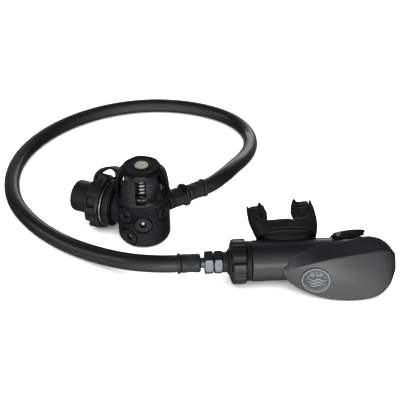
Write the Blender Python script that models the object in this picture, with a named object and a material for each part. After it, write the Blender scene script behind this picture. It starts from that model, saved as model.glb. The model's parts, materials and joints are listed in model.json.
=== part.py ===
"""Scuba regulator set: first stage with DIN connector, low pressure hose and demand second stage.

Every length below is in millimetres and every angle in degrees; add_node() turns them into metres.
+Z is up. The origin is the centre of the first stage's flat base, which stands on the table.
"""
import math

import bmesh
import bpy
from mathutils import Matrix, Vector

# ---------------------------------------------------------------- driving dimensions
MM = 0.001
LARGE, MEDIUM, SMALL = 30, 22, 12   # sides of a round piece, by its size
HEX_SIDES = 24                      # sides of a ring that joins to a large hexagon
GAP = 0.3                       # clearance between touching pieces

BODY_R = 22.3                   # first stage block
BODY_TOP = 40.0
NECK_R = 19.5
NECK_TOP = 44.8
CHAMBER_R = 6.2
CAP_RIM_R = 23.4                # slotted bell over the main spring
SLOT_COUNT = 6
SLOT_WIDTH = 9.4
PLUG_R = 7.35
PLUG_PORTS = ((-42.0, 31.0), (2.0, 24.6), (-33.0, 10.0), (57.0, 31.0), (172.0, 29.0))  # azimuth, height

DIN_AZIMUTH = -112.0            # azimuth is measured from the front (-Y), positive to the right
DIN_Z = 24.0
WHEEL_R = 23.6
WHEEL_LOBES = 6
DUST_CAP_R = 14.0

LP_AZIMUTH = 123.0
LP_Z = 25.5
HOSE_R = 7.0
FERRULE_R = 7.65
FERRULE_LENGTH = 18.6
FIRST_FERRULE = 42.9            # near end of the first ferrule, from the first stage's axis
SECOND_FERRULE = -6.6           # near end of the second ferrule, from the hose nut's middle
HOSE_POINTS = 50
HOSE_STUB = 2.0                 # straight length of hose at each ferrule
REST_Z = HOSE_R + 0.1           # height of the hose's middle where it lies on the table
HOSE_ROUTE = (
    (69.0, 51.6, 25.8), (79.7, 71.9, 23.0), (89.7, 94.8, 18.0), (96.5, 118.5, 13.0), (99.0, 137.4, 9.5),
    (98.4, 154.9, 7.6), (93.6, 172.0, REST_Z), (84.4, 187.2, REST_Z), (70.3, 200.8, REST_Z),
    (53.0, 211.2, REST_Z), (30.0, 219.4, REST_Z), (0.2, 223.0, REST_Z), (-47.2, 213.2, REST_Z),
    (-90.3, 184.6, REST_Z), (-116.4, 149.3, REST_Z), (-128.9, 112.7, REST_Z), (-130.1, 77.6, REST_Z),
    (-119.4, 38.0, REST_Z), (-95.2, 2.6, REST_Z), (-63.9, -24.8, 7.6), (-29.2, -45.6, 10.6),
    (-0.4, -60.6, 16.8),
)

SECOND_ORIGIN = (55.1, -64.1, 20.0)   # middle of the hose nut, on the second stage's axis
SECOND_YAW = 3.4
NUT_AF = 17.0
NUT_TURN = -18.0                 # both nuts' turn about the barrel
BARREL_R = 16.2
BARREL_BORE = 13.9
BARREL_START, BARREL_END = 32.8, 129.5
LOCK_RING_R = 17.85
LOCK_RING_LOBES = 9

DIAPHRAGM_CENTRE = (110.0, -13.0, -1.5)
DIAPHRAGM_TILT = 37.4           # its axis points to the front and this much up
BOWL_R = 18.5

COVER_WALL = 1.8
MEDALLION_R = 11.2
MEDALLION_U, MEDALLION_F = 81.5, 0.44

MOUTH_U = 63.1                  # foot of the mouthpiece on the barrel axis
MOUTH_RISE = 30.0
MOUTH_LEAN = 0.15               # sideways share of the soft mouthpiece's height above its port
MOUTH_ROLL = -0.075             # how much its sides rise and sink, as a share of their distance out
PORT_A, PORT_B = 13.5, 6.3      # half width and half height of the oval air port
EXHAUST_U = 114.0               # exhaust port on the barrel axis, and how far down it points
EXHAUST_DROP = 15.0

# ---------------------------------------------------------------- looks
LOOKS = {
    "black_body": ((0.016, 0.017, 0.019), 0.42, 0.0),
    "black_gloss": ((0.012, 0.013, 0.015), 0.28, 0.0),
    "dark_matt": ((0.010, 0.010, 0.011), 0.65, 0.0),
    "graphite": ((0.060, 0.062, 0.066), 0.36, 0.2),
    "case_grey": ((0.055, 0.057, 0.060), 0.34, 0.0),
    "cover_grey": ((0.085, 0.087, 0.092), 0.38, 0.0),
    "rubber": ((0.014, 0.014, 0.014), 0.70, 0.0),
    "hose_rubber": ((0.018, 0.018, 0.019), 0.45, 0.0),
    "steel": ((0.60, 0.61, 0.62), 0.25, 1.0),
    "brass": ((0.66, 0.50, 0.24), 0.30, 1.0),
    "silicone": ((0.030, 0.030, 0.031), 0.50, 0.0),
    "insert": ((0.55, 0.58, 0.36), 0.40, 0.0),
    "badge": ((0.42, 0.45, 0.46), 0.35, 0.3),
}


def look_material(look):
    """The Principled material of one look, made once."""
    found = bpy.data.materials.get(look)
    if found:
        return found
    colour, roughness, metallic = LOOKS[look]
    material = bpy.data.materials.new(look)
    material.use_nodes = True
    shader = material.node_tree.nodes["Principled BSDF"]
    shader.inputs["Base Color"].default_value = (*colour, 1.0)
    shader.inputs["Roughness"].default_value = roughness
    shader.inputs["Metallic"].default_value = metallic
    material.diffuse_color = (*colour, 1.0)
    return material


# ---------------------------------------------------------------- shapes
def clear_scene():
    for thing in list(bpy.data.objects):
        bpy.data.objects.remove(thing, do_unlink=True)


def empty(name, matrix_mm):
    """A frame for parts: an empty at a millimetre matrix."""
    frame = bpy.data.objects.new(name, None)
    bpy.context.scene.collection.objects.link(frame)
    placed = matrix_mm.copy()
    placed.translation = matrix_mm.translation * MM
    frame.matrix_world = placed
    return frame


def along(origin, direction, up=(0, 0, 1)):
    """Matrix whose local Z is direction and whose local Y leans to up."""
    z = Vector(direction).normalized()
    x = Vector(up).cross(z).normalized()
    y = z.cross(x)
    matrix = Matrix((x, y, z)).transposed().to_4x4()
    matrix.translation = Vector(origin)
    return matrix


def radial(azimuth, height):
    """Frame at the first stage's axis, pointing out at an azimuth."""
    a = math.radians(azimuth)
    return along((0, 0, height), (math.sin(a), -math.cos(a), 0))


def flat_ring(centre, half_width, half_depth):
    """Four corners of a rectangle round centre."""
    corners = ((-1, -1), (1, -1), (1, 1), (-1, 1))
    return [tuple(centre + half_width * a + half_depth * b) for a, b in corners]


def ring_body(rings, loop=False):
    """Closed body through rings of equal point count, capped or joined end to start."""
    count = len(rings[0])
    verts = [point for ring in rings for point in ring]
    faces = []
    spans = len(rings) if loop else len(rings) - 1
    for i in range(spans):
        a = i * count
        b = (i + 1) % len(rings) * count
        for k in range(count):
            n = (k + 1) % count
            faces.append((a + k, a + n, b + n, b + k))
    if not loop:
        faces.append(tuple(range(count)))
        faces.append(tuple(range(len(verts) - count, len(verts))))
    return verts, faces


def circle(r, z, n=MEDIUM):
    return [(r * math.cos(t), r * math.sin(t), z) for t in (2 * math.pi * k / n for k in range(n))]


def hexagon(across_flats, z, n=HEX_SIDES):
    """Hexagon sampled at n angles, so that it joins to circles."""
    ring = []
    for k in range(n):
        t = 2 * math.pi * k / n
        to_flat = (t + math.pi / 6) % (math.pi / 3) - math.pi / 6
        r = across_flats / 2 / math.cos(to_flat)
        ring.append((r * math.cos(t), r * math.sin(t), z))
    return ring


def chamfered_hexagon(across_flats, cut_r, z, n=HEX_SIDES):
    """Hexagon whose corners are turned back to cut_r."""
    ring = []
    for x, y, height in hexagon(across_flats, z, n):
        scale = min(1.0, cut_r / math.hypot(x, y))
        ring.append((x * scale, y * scale, height))
    return ring


def lobed(r_top, r_valley, lobes, z, n, width=0.62):
    """Circle with flat-topped lobes; width is a lobe's share of its pitch."""
    ring = []
    for k in range(n):
        t = 2 * math.pi * k / n
        phase = abs((k * lobes / n) % 1.0 - 0.5) * 2
        blend = min(1.0, max(0.0, (phase - (1 - width)) / 0.22 + 0.5))
        r = r_valley + (r_top - r_valley) * blend
        ring.append((r * math.cos(t), r * math.sin(t), z))
    return ring


def oval(a, b, z, n=MEDIUM, power=2.4, bend=0.0):
    """Superellipse of half sizes a and b; bend lifts its ends along z."""
    ring = []
    for k in range(n):
        t = 2 * math.pi * k / n
        c, s = math.cos(t), math.sin(t)
        x = a * math.copysign(abs(c) ** (2 / power), c)
        y = b * math.copysign(abs(s) ** (2 / power), s)
        ring.append((x, y, z + bend * abs(x / 25.0) ** 3))
    return ring


def turned(profile, n=MEDIUM, loop=False):
    """Body turned about Z from (radius, height) points."""
    return ring_body([circle(r, z, n) for r, z in profile], loop)


def helix(radius, wire_r, z0, z1, coils, per_turn=10, sides=5):
    """Round wire coil about Z, its ends closed flat."""
    rings = []
    steps = int(coils * per_turn)
    for i in range(steps + 1):
        t = 2 * math.pi * i / per_turn
        z = z0 + wire_r + (z1 - z0 - 2 * wire_r) * i / steps
        out = Vector((math.cos(t), math.sin(t), 0))
        centre = out * radius + Vector((0, 0, z))
        rings.append([tuple(centre + out * wire_r * math.cos(a) + Vector((0, 0, wire_r * math.sin(a))))
                      for a in (2 * math.pi * k / sides for k in range(sides))])
    return ring_body(rings)


def box(x, y, z):
    """Box from three (low, high) ranges."""
    ring = [(x[0], y[0]), (x[1], y[0]), (x[1], y[1]), (x[0], y[1])]
    return ring_body([[(a, b, h) for a, b in ring] for h in z])


def moved(shape, matrix):
    verts, faces = shape
    return [tuple(matrix @ Vector(v)) for v in verts], faces


def joined(shapes):
    verts, faces = [], []
    for part_verts, part_faces in shapes:
        base = len(verts)
        verts += part_verts
        faces += [tuple(base + i for i in face) for face in part_faces]
    return verts, faces


def add_node(name, shape, look, parent=None, pivot=(0, 0, 0), sharp=35.0):
    """One closed mesh node; its origin is pivot, in its parent's millimetres."""
    verts, faces = shape
    mesh = bpy.data.meshes.new(name)
    start = Vector(pivot)
    mesh.from_pydata([(Vector(v) - start) * MM for v in verts], [], faces)
    work = bmesh.new()
    work.from_mesh(mesh)
    bmesh.ops.recalc_face_normals(work, faces=work.faces)
    work.to_mesh(mesh)
    work.free()
    mesh.shade_smooth()
    mesh.set_sharp_from_angle(angle=math.radians(sharp))
    node = bpy.data.objects.new(name, mesh)
    bpy.context.scene.collection.objects.link(node)
    node.data.materials.append(look_material(look))
    node.parent = parent
    node.location = start * MM
    return node


def add_cutter(name, shape, parent=None):
    """A hidden tool for Boolean modifiers."""
    cutter = add_node(name, shape, "dark_matt", parent)
    cutter.hide_render = True
    cutter.display_type = "WIRE"
    return cutter


def combine(node, tool, operation):
    modifier = node.modifiers.new(tool.name, "BOOLEAN")
    modifier.operation = operation
    modifier.solver = "EXACT"
    modifier.object = tool


def smooth_path(points, count, first_way, last_way):
    """count evenly spaced points of a smooth curve through points, with given directions at its ends."""
    control = [Vector(p) for p in points]

    def tangent(i):
        if i == 0:
            return Vector(first_way).normalized()
        if i == len(control) - 1:
            return Vector(last_way).normalized()
        back, ahead = control[i] - control[i - 1], control[i + 1] - control[i]
        return (back / back.length + ahead / ahead.length
                - (back + ahead) / (back.length + ahead.length))

    fine = []
    for i in range(len(control) - 1):
        p, q = control[i], control[i + 1]
        reach = (q - p).length
        m, n = tangent(i) * reach, tangent(i + 1) * reach
        for k in range(24):
            t = k / 24
            fine.append(p * (2 * t ** 3 - 3 * t ** 2 + 1) + m * (t ** 3 - 2 * t ** 2 + t)
                        + q * (3 * t ** 2 - 2 * t ** 3) + n * (t ** 3 - t ** 2))
    fine.append(control[-1])
    run = [0.0]
    for a, b in zip(fine, fine[1:]):
        run.append(run[-1] + (b - a).length)
    path = []
    at = 0
    for k in range(count):
        want = run[-1] * k / (count - 1)
        while at < len(run) - 2 and run[at + 1] < want:
            at += 1
        share = (want - run[at]) / (run[at + 1] - run[at])
        path.append(fine[at].lerp(fine[at + 1], share))
    return path


# ---------------------------------------------------------------- first stage
def first_stage_body():
    """Turned block with a neck for the bell, the valve chamber and the ports."""
    profile = [(17.3, 0), (20.3, 1.3), (21.8, 3.4), (BODY_R, 6), (BODY_R, BODY_TOP), (NECK_R, BODY_TOP),
               (NECK_R, NECK_TOP), (17.2, NECK_TOP), (17.2, 42.0), (9.2, 42.0), (9.2, 37.0),
               (CHAMBER_R, 37.0), (CHAMBER_R, 11.0)]
    body = add_node("first_stage_body", turned(profile, LARGE), "black_body")
    din = radial(DIN_AZIMUTH, DIN_Z)
    boss = add_cutter("inlet_boss", moved(turned([(15.6, 9.0), (15.6, 24.0), (15.1, 24.5)]), din))
    combine(body, boss, "UNION")
    inlet = turned([(8.6, 26.0), (8.6, 13.0), (3.0, 13.0), (3.0, 5.0)], SMALL)
    combine(body, add_cutter("inlet_port", moved(inlet, din)), "DIFFERENCE")
    outlet = turned([(6.3, 26.0), (6.3, 13.5), (2.5, 13.5), (2.5, 5.0)], SMALL)
    combine(body, add_cutter("outlet_port", moved(outlet, radial(LP_AZIMUTH, LP_Z))), "DIFFERENCE")
    for i, (azimuth, height) in enumerate(PLUG_PORTS, 1):
        port = turned([(PLUG_R + 0.65, 26.0), (PLUG_R + 0.65, 17.0), (5.1, 17.0), (5.1, 11.5)], SMALL)
        combine(body, add_cutter(f"plug_port_{i}", moved(port, radial(azimuth, height))), "DIFFERENCE")


def port_plugs():
    """Flush plugs with a hex socket."""
    for i, (azimuth, height) in enumerate(PLUG_PORTS, 1):
        rings = [circle(4.7, 12.0, SMALL), circle(4.7, 17.3, SMALL), circle(PLUG_R, 17.3, SMALL),
                 circle(PLUG_R, 21.5, SMALL), circle(PLUG_R - 0.6, 22.1, SMALL),
                 hexagon(5.0, 22.1, SMALL), hexagon(5.0, 18.9, SMALL)]
        add_node(f"port_plug_{i}", moved(ring_body(rings), radial(azimuth, height)), "black_gloss")


def spring_cap():
    """Slotted bell: a turned shell whose windows run out through its top edge."""
    outside = [(19.9, BODY_TOP + GAP), (CAP_RIM_R - 0.5, BODY_TOP + GAP), (CAP_RIM_R, 41.0),
               (CAP_RIM_R, 44.0), (22.6, 46.0), (22.0, 55.0), (20.9, 60.0), (19.2, 64.6), (16.6, 68.2)]
    inside = [(15.0, 68.6), (15.0, 66.6), (12.4, 66.6), (12.4, 63.0), (16.2, 63.0), (19.6, 55.0)]
    bell = add_node("spring_cap", turned(outside + inside, LARGE, loop=True), "black_gloss")
    windows = []
    for i in range(SLOT_COUNT):
        pane = box((15.9, 27.0), (-SLOT_WIDTH / 2, SLOT_WIDTH / 2), (45.2, 71.0))
        windows.append(moved(pane, Matrix.Rotation(math.radians(-90 + 360 / SLOT_COUNT * i), 4, "Z")))
    combine(bell, add_cutter("cap_windows", joined(windows)), "DIFFERENCE")


def cap_top_pieces():
    """Matt top disc with its pale insert, and the adjuster screw below it."""
    disc = [(6.0, 66.9), (14.7, 66.9), (14.7, 68.9), (15.3, 68.9), (14.4, 70.3), (6.0, 70.3)]
    add_node("cap_top", turned(disc, loop=True), "dark_matt")
    insert = [(5.7, 67.0), (5.7, 70.1), (5.2, 70.6), (1.2, 70.8)]
    add_node("cap_insert", turned(insert, SMALL), "insert")
    top, foot = 66.5, 62.8
    screw = [hexagon(6.0, top), circle(12.1, top, HEX_SIDES), circle(12.1, foot, HEX_SIDES),
             hexagon(6.0, foot)]
    add_node("spring_adjuster", ring_body(screw, loop=True), "brass")


def regulating_stack():
    """Main spring, pad, diaphragm and the push pin that opens the high pressure poppet."""
    add_node("main_spring", helix(9.9, 1.45, 47.0, 62.5, 4.6, 12), "steel")
    pad = [(12.0, 43.6), (12.0, 46.7), (8.0, 46.7), (7.2, 49.6), (3.0, 50.0)]
    add_node("spring_pad", turned(pad), "brass", pivot=(0, 0, 46.0))
    clamp = [(16.9, 43.4), (16.9, 46.2), (16.2, 47.0), (12.4, 47.0), (12.4, 43.4)]
    add_node("diaphragm_clamp", turned(clamp, loop=True), "brass")
    add_node("first_diaphragm", turned([(16.8, 42.3), (16.8, 43.1), (2.0, 43.1), (2.0, 42.3)]), "rubber")
    pin = [(7.6, 42.0), (7.6, 40.6), (1.4, 40.0), (1.4, 27.2)]
    add_node("push_pin", turned(pin, SMALL), "steel", pivot=(0, 0, 40.0))
    crown = [(5.9, 30.0), (5.9, 35.5), (1.8, 35.5), (1.8, 30.0)]
    add_node("valve_crown", turned(crown, SMALL, loop=True), "brass")
    poppet = [(4.9, 26.9), (4.9, 23.0), (2.2, 22.4), (2.2, 17.0)]
    add_node("valve_poppet", turned(poppet, SMALL), "brass", pivot=(0, 0, 25.0))
    add_node("valve_spring", helix(3.8, 0.5, 11.4, 22.0, 4, 8, 4), "steel")


# ---------------------------------------------------------------- cylinder connector
def din_connector(frame):
    """Collar, bright ring, lobed hand wheel on its stem, filter and seal."""
    collar = [(8.9, 24.9), (17.4, 24.9), (17.4, 31.3), (16.8, 31.9), (8.9, 31.9)]
    add_node("din_collar", turned(collar, LARGE, loop=True), "black_body", frame)
    ring = [(8.9, 32.2), (20.0, 32.2), (20.0, 33.0), (8.9, 33.0)]
    add_node("din_ring", turned(ring, LARGE, loop=True), "steel", frame)
    n = 8 * WHEEL_LOBES
    flange = WHEEL_R - 0.8
    rings = [circle(8.7, 33.3, n), circle(flange - 1.2, 33.3, n), circle(flange, 34.3, n),
             circle(flange, 36.4, n), lobed(WHEEL_R, 18.6, WHEEL_LOBES, 37.2, n),
             lobed(WHEEL_R, 18.6, WHEEL_LOBES, 45.0, n), circle(17.0, 46.2, n), circle(11.9, 46.2, n),
             circle(11.9, 58.8, n), circle(8.7, 59.3, n)]
    add_node("din_wheel", ring_body(rings, loop=True), "black_body", frame)
    stem = [(5.0, 14.0), (8.3, 14.0), (8.3, 59.7), (10.6, 59.7), (10.6, 60.9), (5.0, 60.9)]
    add_node("din_stem", turned(stem, loop=True), "steel", frame)
    add_node("din_filter", turned([(4.6, 47.0), (4.6, 56.0), (2.2, 58.5)], SMALL), "brass", frame)
    seal = [(7.6 + 0.9 * math.cos(a), 62.15 + 0.9 * math.sin(a)) for a in (math.pi * k / 2 for k in range(4))]
    add_node("din_oring", turned(seal, loop=True), "rubber", frame)


def dust_cap(frame):
    """Cup pushed over the connector's thread, and the tether's ring round it."""
    cup = [(12.4, 46.8), (DUST_CAP_R, 46.8), (DUST_CAP_R, 63.6), (13.0, 64.8)]
    rings = [circle(r, z, LARGE) for r, z in cup]
    floor = [circle(12.4, 63.2, LARGE)]
    add_node("dust_cap", ring_body(floor + rings), "rubber", frame, pivot=(0, 0, 46.8))
    inner, outer = DUST_CAP_R + GAP, DUST_CAP_R + 1.6
    ring = [(inner, 47.6), (outer, 47.6), (outer, 51.2), (inner, 51.2)]
    add_node("strap_ring", turned(ring, LARGE, loop=True), "rubber", frame)


def dust_cap_strap(frame):
    """Rubber tether from the cap's ring over the wheel to a band around the collar."""
    band = [(17.7, 25.6), (19.2, 25.6), (19.2, 31.2), (17.7, 31.2)]
    strap = add_node("dust_cap_strap", turned(band, loop=True), "rubber", frame)
    route = [(-10.6, 13.9, 50.6), (-13.2, 17.4, 49.6), (-15.9, 21.4, 45.4), (-15.8, 24.6, 39.6),
             (-14.6, 26.6, 33.0), (-12.6, 25.6, 28.8), (-10.6, 20.6, 27.4), (-9.2, 16.0, 28.2)]
    path = smooth_path(route, 20, (-1.6, 2.0, 1.0), (1.0, -5.0, 0.0))
    half_width = Vector((0.84, 0.54, 0.0)) * 4.2
    rings = []
    for i, point in enumerate(path):
        step = path[min(i + 1, len(path) - 1)] - path[max(i - 1, 0)]
        half_depth = step.cross(half_width).normalized() * 1.1
        rings.append(flat_ring(point, half_width, half_depth))
    combine(strap, add_cutter("strap_tongue", ring_body(rings), frame), "UNION")


# ---------------------------------------------------------------- hose
def lp_outlet(frame):
    """Hose fitting, its collar and the first ferrule."""
    inner = ((2.6, 14.5), (5.9, 14.5), (5.9, 22.6), (8.4, 22.6), (8.4, 28.0))
    flats = ((8.3, 28.4), (8.9, 29.2), (8.9, 36.2), (8.3, 37.0))
    outer = ((4.4, 37.0), (4.4, 42.6), (2.6, 42.6))
    rings = [circle(r, z, HEX_SIDES) for r, z in inner]
    rings += [chamfered_hexagon(15.6, r, z) for r, z in flats]
    rings += [circle(r, z, HEX_SIDES) for r, z in outer]
    add_node("lp_fitting", ring_body(rings, loop=True), "graphite", frame)
    collar = [(4.7, 37.4), (8.0, 37.4), (10.2, 39.0), (10.2, 41.8), (9.6, 42.4), (4.7, 42.4)]
    add_node("fitting_collar", turned(collar, loop=True), "black_body", frame)
    add_node("hose_ferrule_first", ferrule(FIRST_FERRULE, 1), "graphite", frame)


def ferrule(start, sense):
    """Crimped sleeve from start along sense; its hose end carries a bead."""
    profile = [(5.0, 0.0), (6.9, 0.2), (FERRULE_R, 1.6), (FERRULE_R, FERRULE_LENGTH - 2.6),
               (FERRULE_R + 0.65, FERRULE_LENGTH - 2.2), (FERRULE_R + 0.65, FERRULE_LENGTH)]
    return turned([(r, start + sense * h) for r, h in profile])


def hose(outlet, second):
    """Free hose on the table, from the first ferrule round to the second one."""
    start = outlet @ Vector((0, 0, FIRST_FERRULE + FERRULE_LENGTH + GAP))
    end = second @ Vector((SECOND_FERRULE - FERRULE_LENGTH - GAP, 0, 0))
    out, inward = outlet.to_3x3() @ Vector((0, 0, 1)), second.to_3x3() @ Vector((1, 0, 0))
    route = [start + out * HOSE_STUB, *HOSE_ROUTE, end - inward * HOSE_STUB]
    curve = bpy.data.curves.new("hose", "CURVE")
    curve.dimensions = "3D"
    curve.bevel_depth = HOSE_R * MM
    curve.bevel_resolution = 3
    curve.use_fill_caps = True
    spline = curve.splines.new("POLY")
    path = [start] + smooth_path(route, HOSE_POINTS, out, inward) + [end]
    spline.points.add(len(path) - 1)
    for point, place in zip(spline.points, path):
        point.co = (*(place * MM), 1.0)
    node = bpy.data.objects.new("hose", curve)
    bpy.context.scene.collection.objects.link(node)
    curve.materials.append(look_material("hose_rubber"))


# ---------------------------------------------------------------- second stage, in its own frame
# u runs along the barrel away from the hose, v to the back, w up; turned shapes lie along u.
U_AXIS = along((0, 0, 0), (1, 0, 0))
NUT_AXIS = U_AXIS @ Matrix.Rotation(math.radians(NUT_TURN), 4, "Z")


def hose_end(frame):
    """Second ferrule, its stem and the loose hose nut."""
    stem = moved(turned([(4.2, -6.3), (4.2, 0.6), (2.4, 0.6), (2.4, -6.3)], SMALL, loop=True), U_AXIS)
    add_node("hose_stem", stem, "graphite", frame)
    add_node("hose_ferrule_second", moved(ferrule(SECOND_FERRULE, -1), U_AXIS), "graphite", frame)
    nut = ring_body(nut_rings(-3.8, 3.2, 4.6, -1.4), loop=True)
    add_node("hose_nut", moved(nut, NUT_AXIS), "graphite", frame, sharp=25)


def nut_rings(start, stop, rear_bore, step=0.0):
    """Rings of a chamfered hexagon nut; a rear bore under the front one ends in a step."""
    front_bore, chamfer = 7.0, 0.9
    rings = [circle(rear_bore, start, HEX_SIDES), chamfered_hexagon(NUT_AF, 8.3, start),
             chamfered_hexagon(NUT_AF, 9.7, start + chamfer), chamfered_hexagon(NUT_AF, 9.7, stop - chamfer),
             chamfered_hexagon(NUT_AF, 8.3, stop), circle(front_bore, stop, HEX_SIDES)]
    if rear_bore < front_bore:
        rings += [circle(front_bore, step, HEX_SIDES), circle(rear_bore, step, HEX_SIDES)]
    return rings


def inlet_pieces(frame):
    """Lock nut, flared adapter, lobed lock ring and the seal behind it."""
    nut = ring_body(nut_rings(3.8, 10.4, 7.0), loop=True)
    add_node("lock_nut", moved(nut, NUT_AXIS), "graphite", frame, sharp=25)
    adapter = [(2.8, 1.2), (6.7, 1.2), (6.7, 10.7), (8.3, 10.7), (8.5, 12.6), (9.6, 14.6), (11.6, 16.0),
               (11.6, 19.4), (13.9, 19.4), (13.9, 22.4), (5.95, 22.4), (5.95, 20.6), (2.8, 20.6)]
    add_node("inlet_adapter", moved(turned(adapter, loop=True), U_AXIS), "graphite", frame)
    tip, valley = LOCK_RING_R, LOCK_RING_R - 1.5
    n = 6 * LOCK_RING_LOBES
    rings = [circle(12.0, 16.5, n), circle(14.6, 16.5, n), lobed(tip, valley, LOCK_RING_LOBES, 18.2, n),
             lobed(tip, valley, LOCK_RING_LOBES, 28.4, n), circle(15.6, 29.2, n), circle(14.3, 29.2, n),
             circle(14.3, 19.0, n), circle(12.0, 19.0, n)]
    add_node("lock_ring", moved(ring_body(rings, loop=True), U_AXIS), "black_body", frame)
    seal = [(14.4, 29.6), (15.9, 29.6), (15.9, 32.5), (14.4, 32.5)]
    add_node("seal_ring", moved(turned(seal, loop=True), U_AXIS), "rubber", frame)


def diaphragm_frame():
    tilt = math.radians(DIAPHRAGM_TILT)
    return along(DIAPHRAGM_CENTRE, (0, -math.cos(tilt), math.sin(tilt)))


def mouth_frame():
    """Frame along the mouthpiece: local X across it, local Z out of the barrel."""
    rise = math.radians(MOUTH_RISE)
    return along((MOUTH_U, 0, 0), (0, math.cos(rise), math.sin(rise)))


def exhaust_frame():
    drop = math.radians(EXHAUST_DROP)
    return along((EXHAUST_U, 0, 0), (0, math.cos(drop), -math.sin(drop)))


def case(frame):
    """Barrel with the diaphragm bowl, the oval mouthpiece port, the exhaust port and its end cap."""
    barrel = [(14.1, 22.8), (14.1, BARREL_START - 0.2), (BARREL_R - 0.5, BARREL_START),
              (BARREL_R, BARREL_START + 0.5), (BARREL_R, BARREL_END)]
    body = add_node("case", moved(turned(barrel, LARGE), U_AXIS), "case_grey", frame)
    bowl = turned([(BOWL_R, 2.4), (BOWL_R, -2.0), (16.4, -6.0), (11.0, -13.0)])
    combine(body, add_cutter("bowl_outside", moved(bowl, diaphragm_frame()), frame), "UNION")
    spigot = ring_body([oval(PORT_A + 2.6, PORT_B + 2.4, h) for h in (9.0, 24.0)])
    combine(body, add_cutter("mouth_spigot", moved(spigot, mouth_frame()), frame), "UNION")
    boss = turned([(11.4, 6.0), (11.4, 18.4)])
    combine(body, add_cutter("exhaust_boss", moved(boss, exhaust_frame()), frame), "UNION")
    bore = turned([(12.3, 20.0), (12.3, 34.0), (BARREL_BORE, 35.0), (BARREL_BORE, BARREL_END + 5)])
    combine(body, add_cutter("barrel_bore", moved(bore, U_AXIS), frame), "DIFFERENCE")
    above = turned([(BOWL_R + 0.4, 30.0), (BOWL_R + 0.4, 1.5)])
    combine(body, add_cutter("seat_clearance", moved(above, diaphragm_frame()), frame), "DIFFERENCE")
    well = turned([(16.4, 3.0), (16.4, 0.0), (14.4, 0.0), (14.4, -5.0), (9.0, -13.5)])
    combine(body, add_cutter("bowl_inside", moved(well, diaphragm_frame()), frame), "DIFFERENCE")
    air = ring_body([oval(PORT_A, PORT_B, h) for h in (6.0, 27.0)])
    combine(body, add_cutter("mouth_port", moved(air, mouth_frame()), frame), "DIFFERENCE")
    vent = turned([(7.2, 8.0), (7.2, 21.0)], SMALL)
    combine(body, add_cutter("exhaust_port", moved(vent, exhaust_frame()), frame), "DIFFERENCE")
    lid = [(13.5, BARREL_END - 1.0), (13.5, BARREL_END + 0.3), (BARREL_R - 0.6, BARREL_END + 0.3),
           (BARREL_R - 1.0, BARREL_END + 1.3), (12.0, BARREL_END + 2.2)]
    add_node("barrel_end_cap", moved(turned(lid), U_AXIS), "case_grey", frame)


def demand_valve(frame):
    """Valve tube with its orifice, poppet and spring, and the lever to the diaphragm."""
    tube = [(3.9, 20.9), (5.6, 20.9), (5.6, 85.0), (3.9, 85.0)]
    add_node("valve_tube", moved(turned(tube, SMALL, loop=True), U_AXIS), "steel", frame)
    seat = [(1.2, 22.0), (3.6, 22.0), (3.6, 29.0), (2.0, 30.0), (1.2, 30.0)]
    add_node("orifice", moved(turned(seat, SMALL, loop=True), U_AXIS), "brass", frame)
    rod = [(3.2, 30.6), (3.2, 34.0), (1.6, 35.0), (1.6, 82.0)]
    add_node("poppet", moved(turned(rod, SMALL), U_AXIS), "steel", frame, pivot=(32, 0, 0))
    add_node("poppet_spring", moved(helix(2.7, 0.4, 36.0, 56.0, 5, 7, 4), U_AXIS), "steel", frame)
    lever_pivot, lever_foot = Vector((90.6, 0, 0)), Vector((92.3, 0, 0))
    facing = diaphragm_frame().to_3x3() @ Vector((0, 0, 1))
    lever_tip = Vector(DIAPHRAGM_CENTRE) - facing * 1.9
    line = (lever_tip - lever_foot).normalized()
    side = line.cross(facing).normalized()
    half_depth = line.cross(side) * 0.6
    rings = []
    for share, half_width in ((0.0, 4.4), (0.3, 4.2), (0.8, 2.6), (1.0, 2.6)):
        rings.append(flat_ring(lever_foot.lerp(lever_tip, share), side * half_width, half_depth))
    add_node("demand_lever", ring_body(rings), "steel", frame, pivot=tuple(lever_pivot))
    pin = moved(turned([(1.0, -9.0), (1.0, 9.0)], 16), along(lever_pivot, side))
    add_node("lever_pin", pin, "steel", frame)


def diaphragm_pieces(frame):
    """Rubber diaphragm with its plate, the ring that holds it and the purge spring."""
    seat = diaphragm_frame()
    rubber = turned([(16.1, 0.3), (16.1, 1.3), (2.0, 1.3), (2.0, 0.3)])
    add_node("demand_diaphragm", moved(rubber, seat), "rubber", frame)
    plate = turned([(8.6, 0.0), (8.6, -0.9), (2.0, -0.9), (2.0, 0.0)], SMALL)
    add_node("diaphragm_plate", moved(plate, seat), "steel", frame, pivot=tuple(seat.translation))
    ring = turned([(13.6, 1.8), (18.2, 1.8), (18.2, 2.8), (17.6, 3.3), (13.6, 3.3)], loop=True)
    add_node("diaphragm_retainer", moved(ring, seat), "black_body", frame)
    add_node("purge_spring", moved(helix(6.2, 0.45, 1.7, 6.3, 3, 10, 4), seat), "steel", frame)


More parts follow.
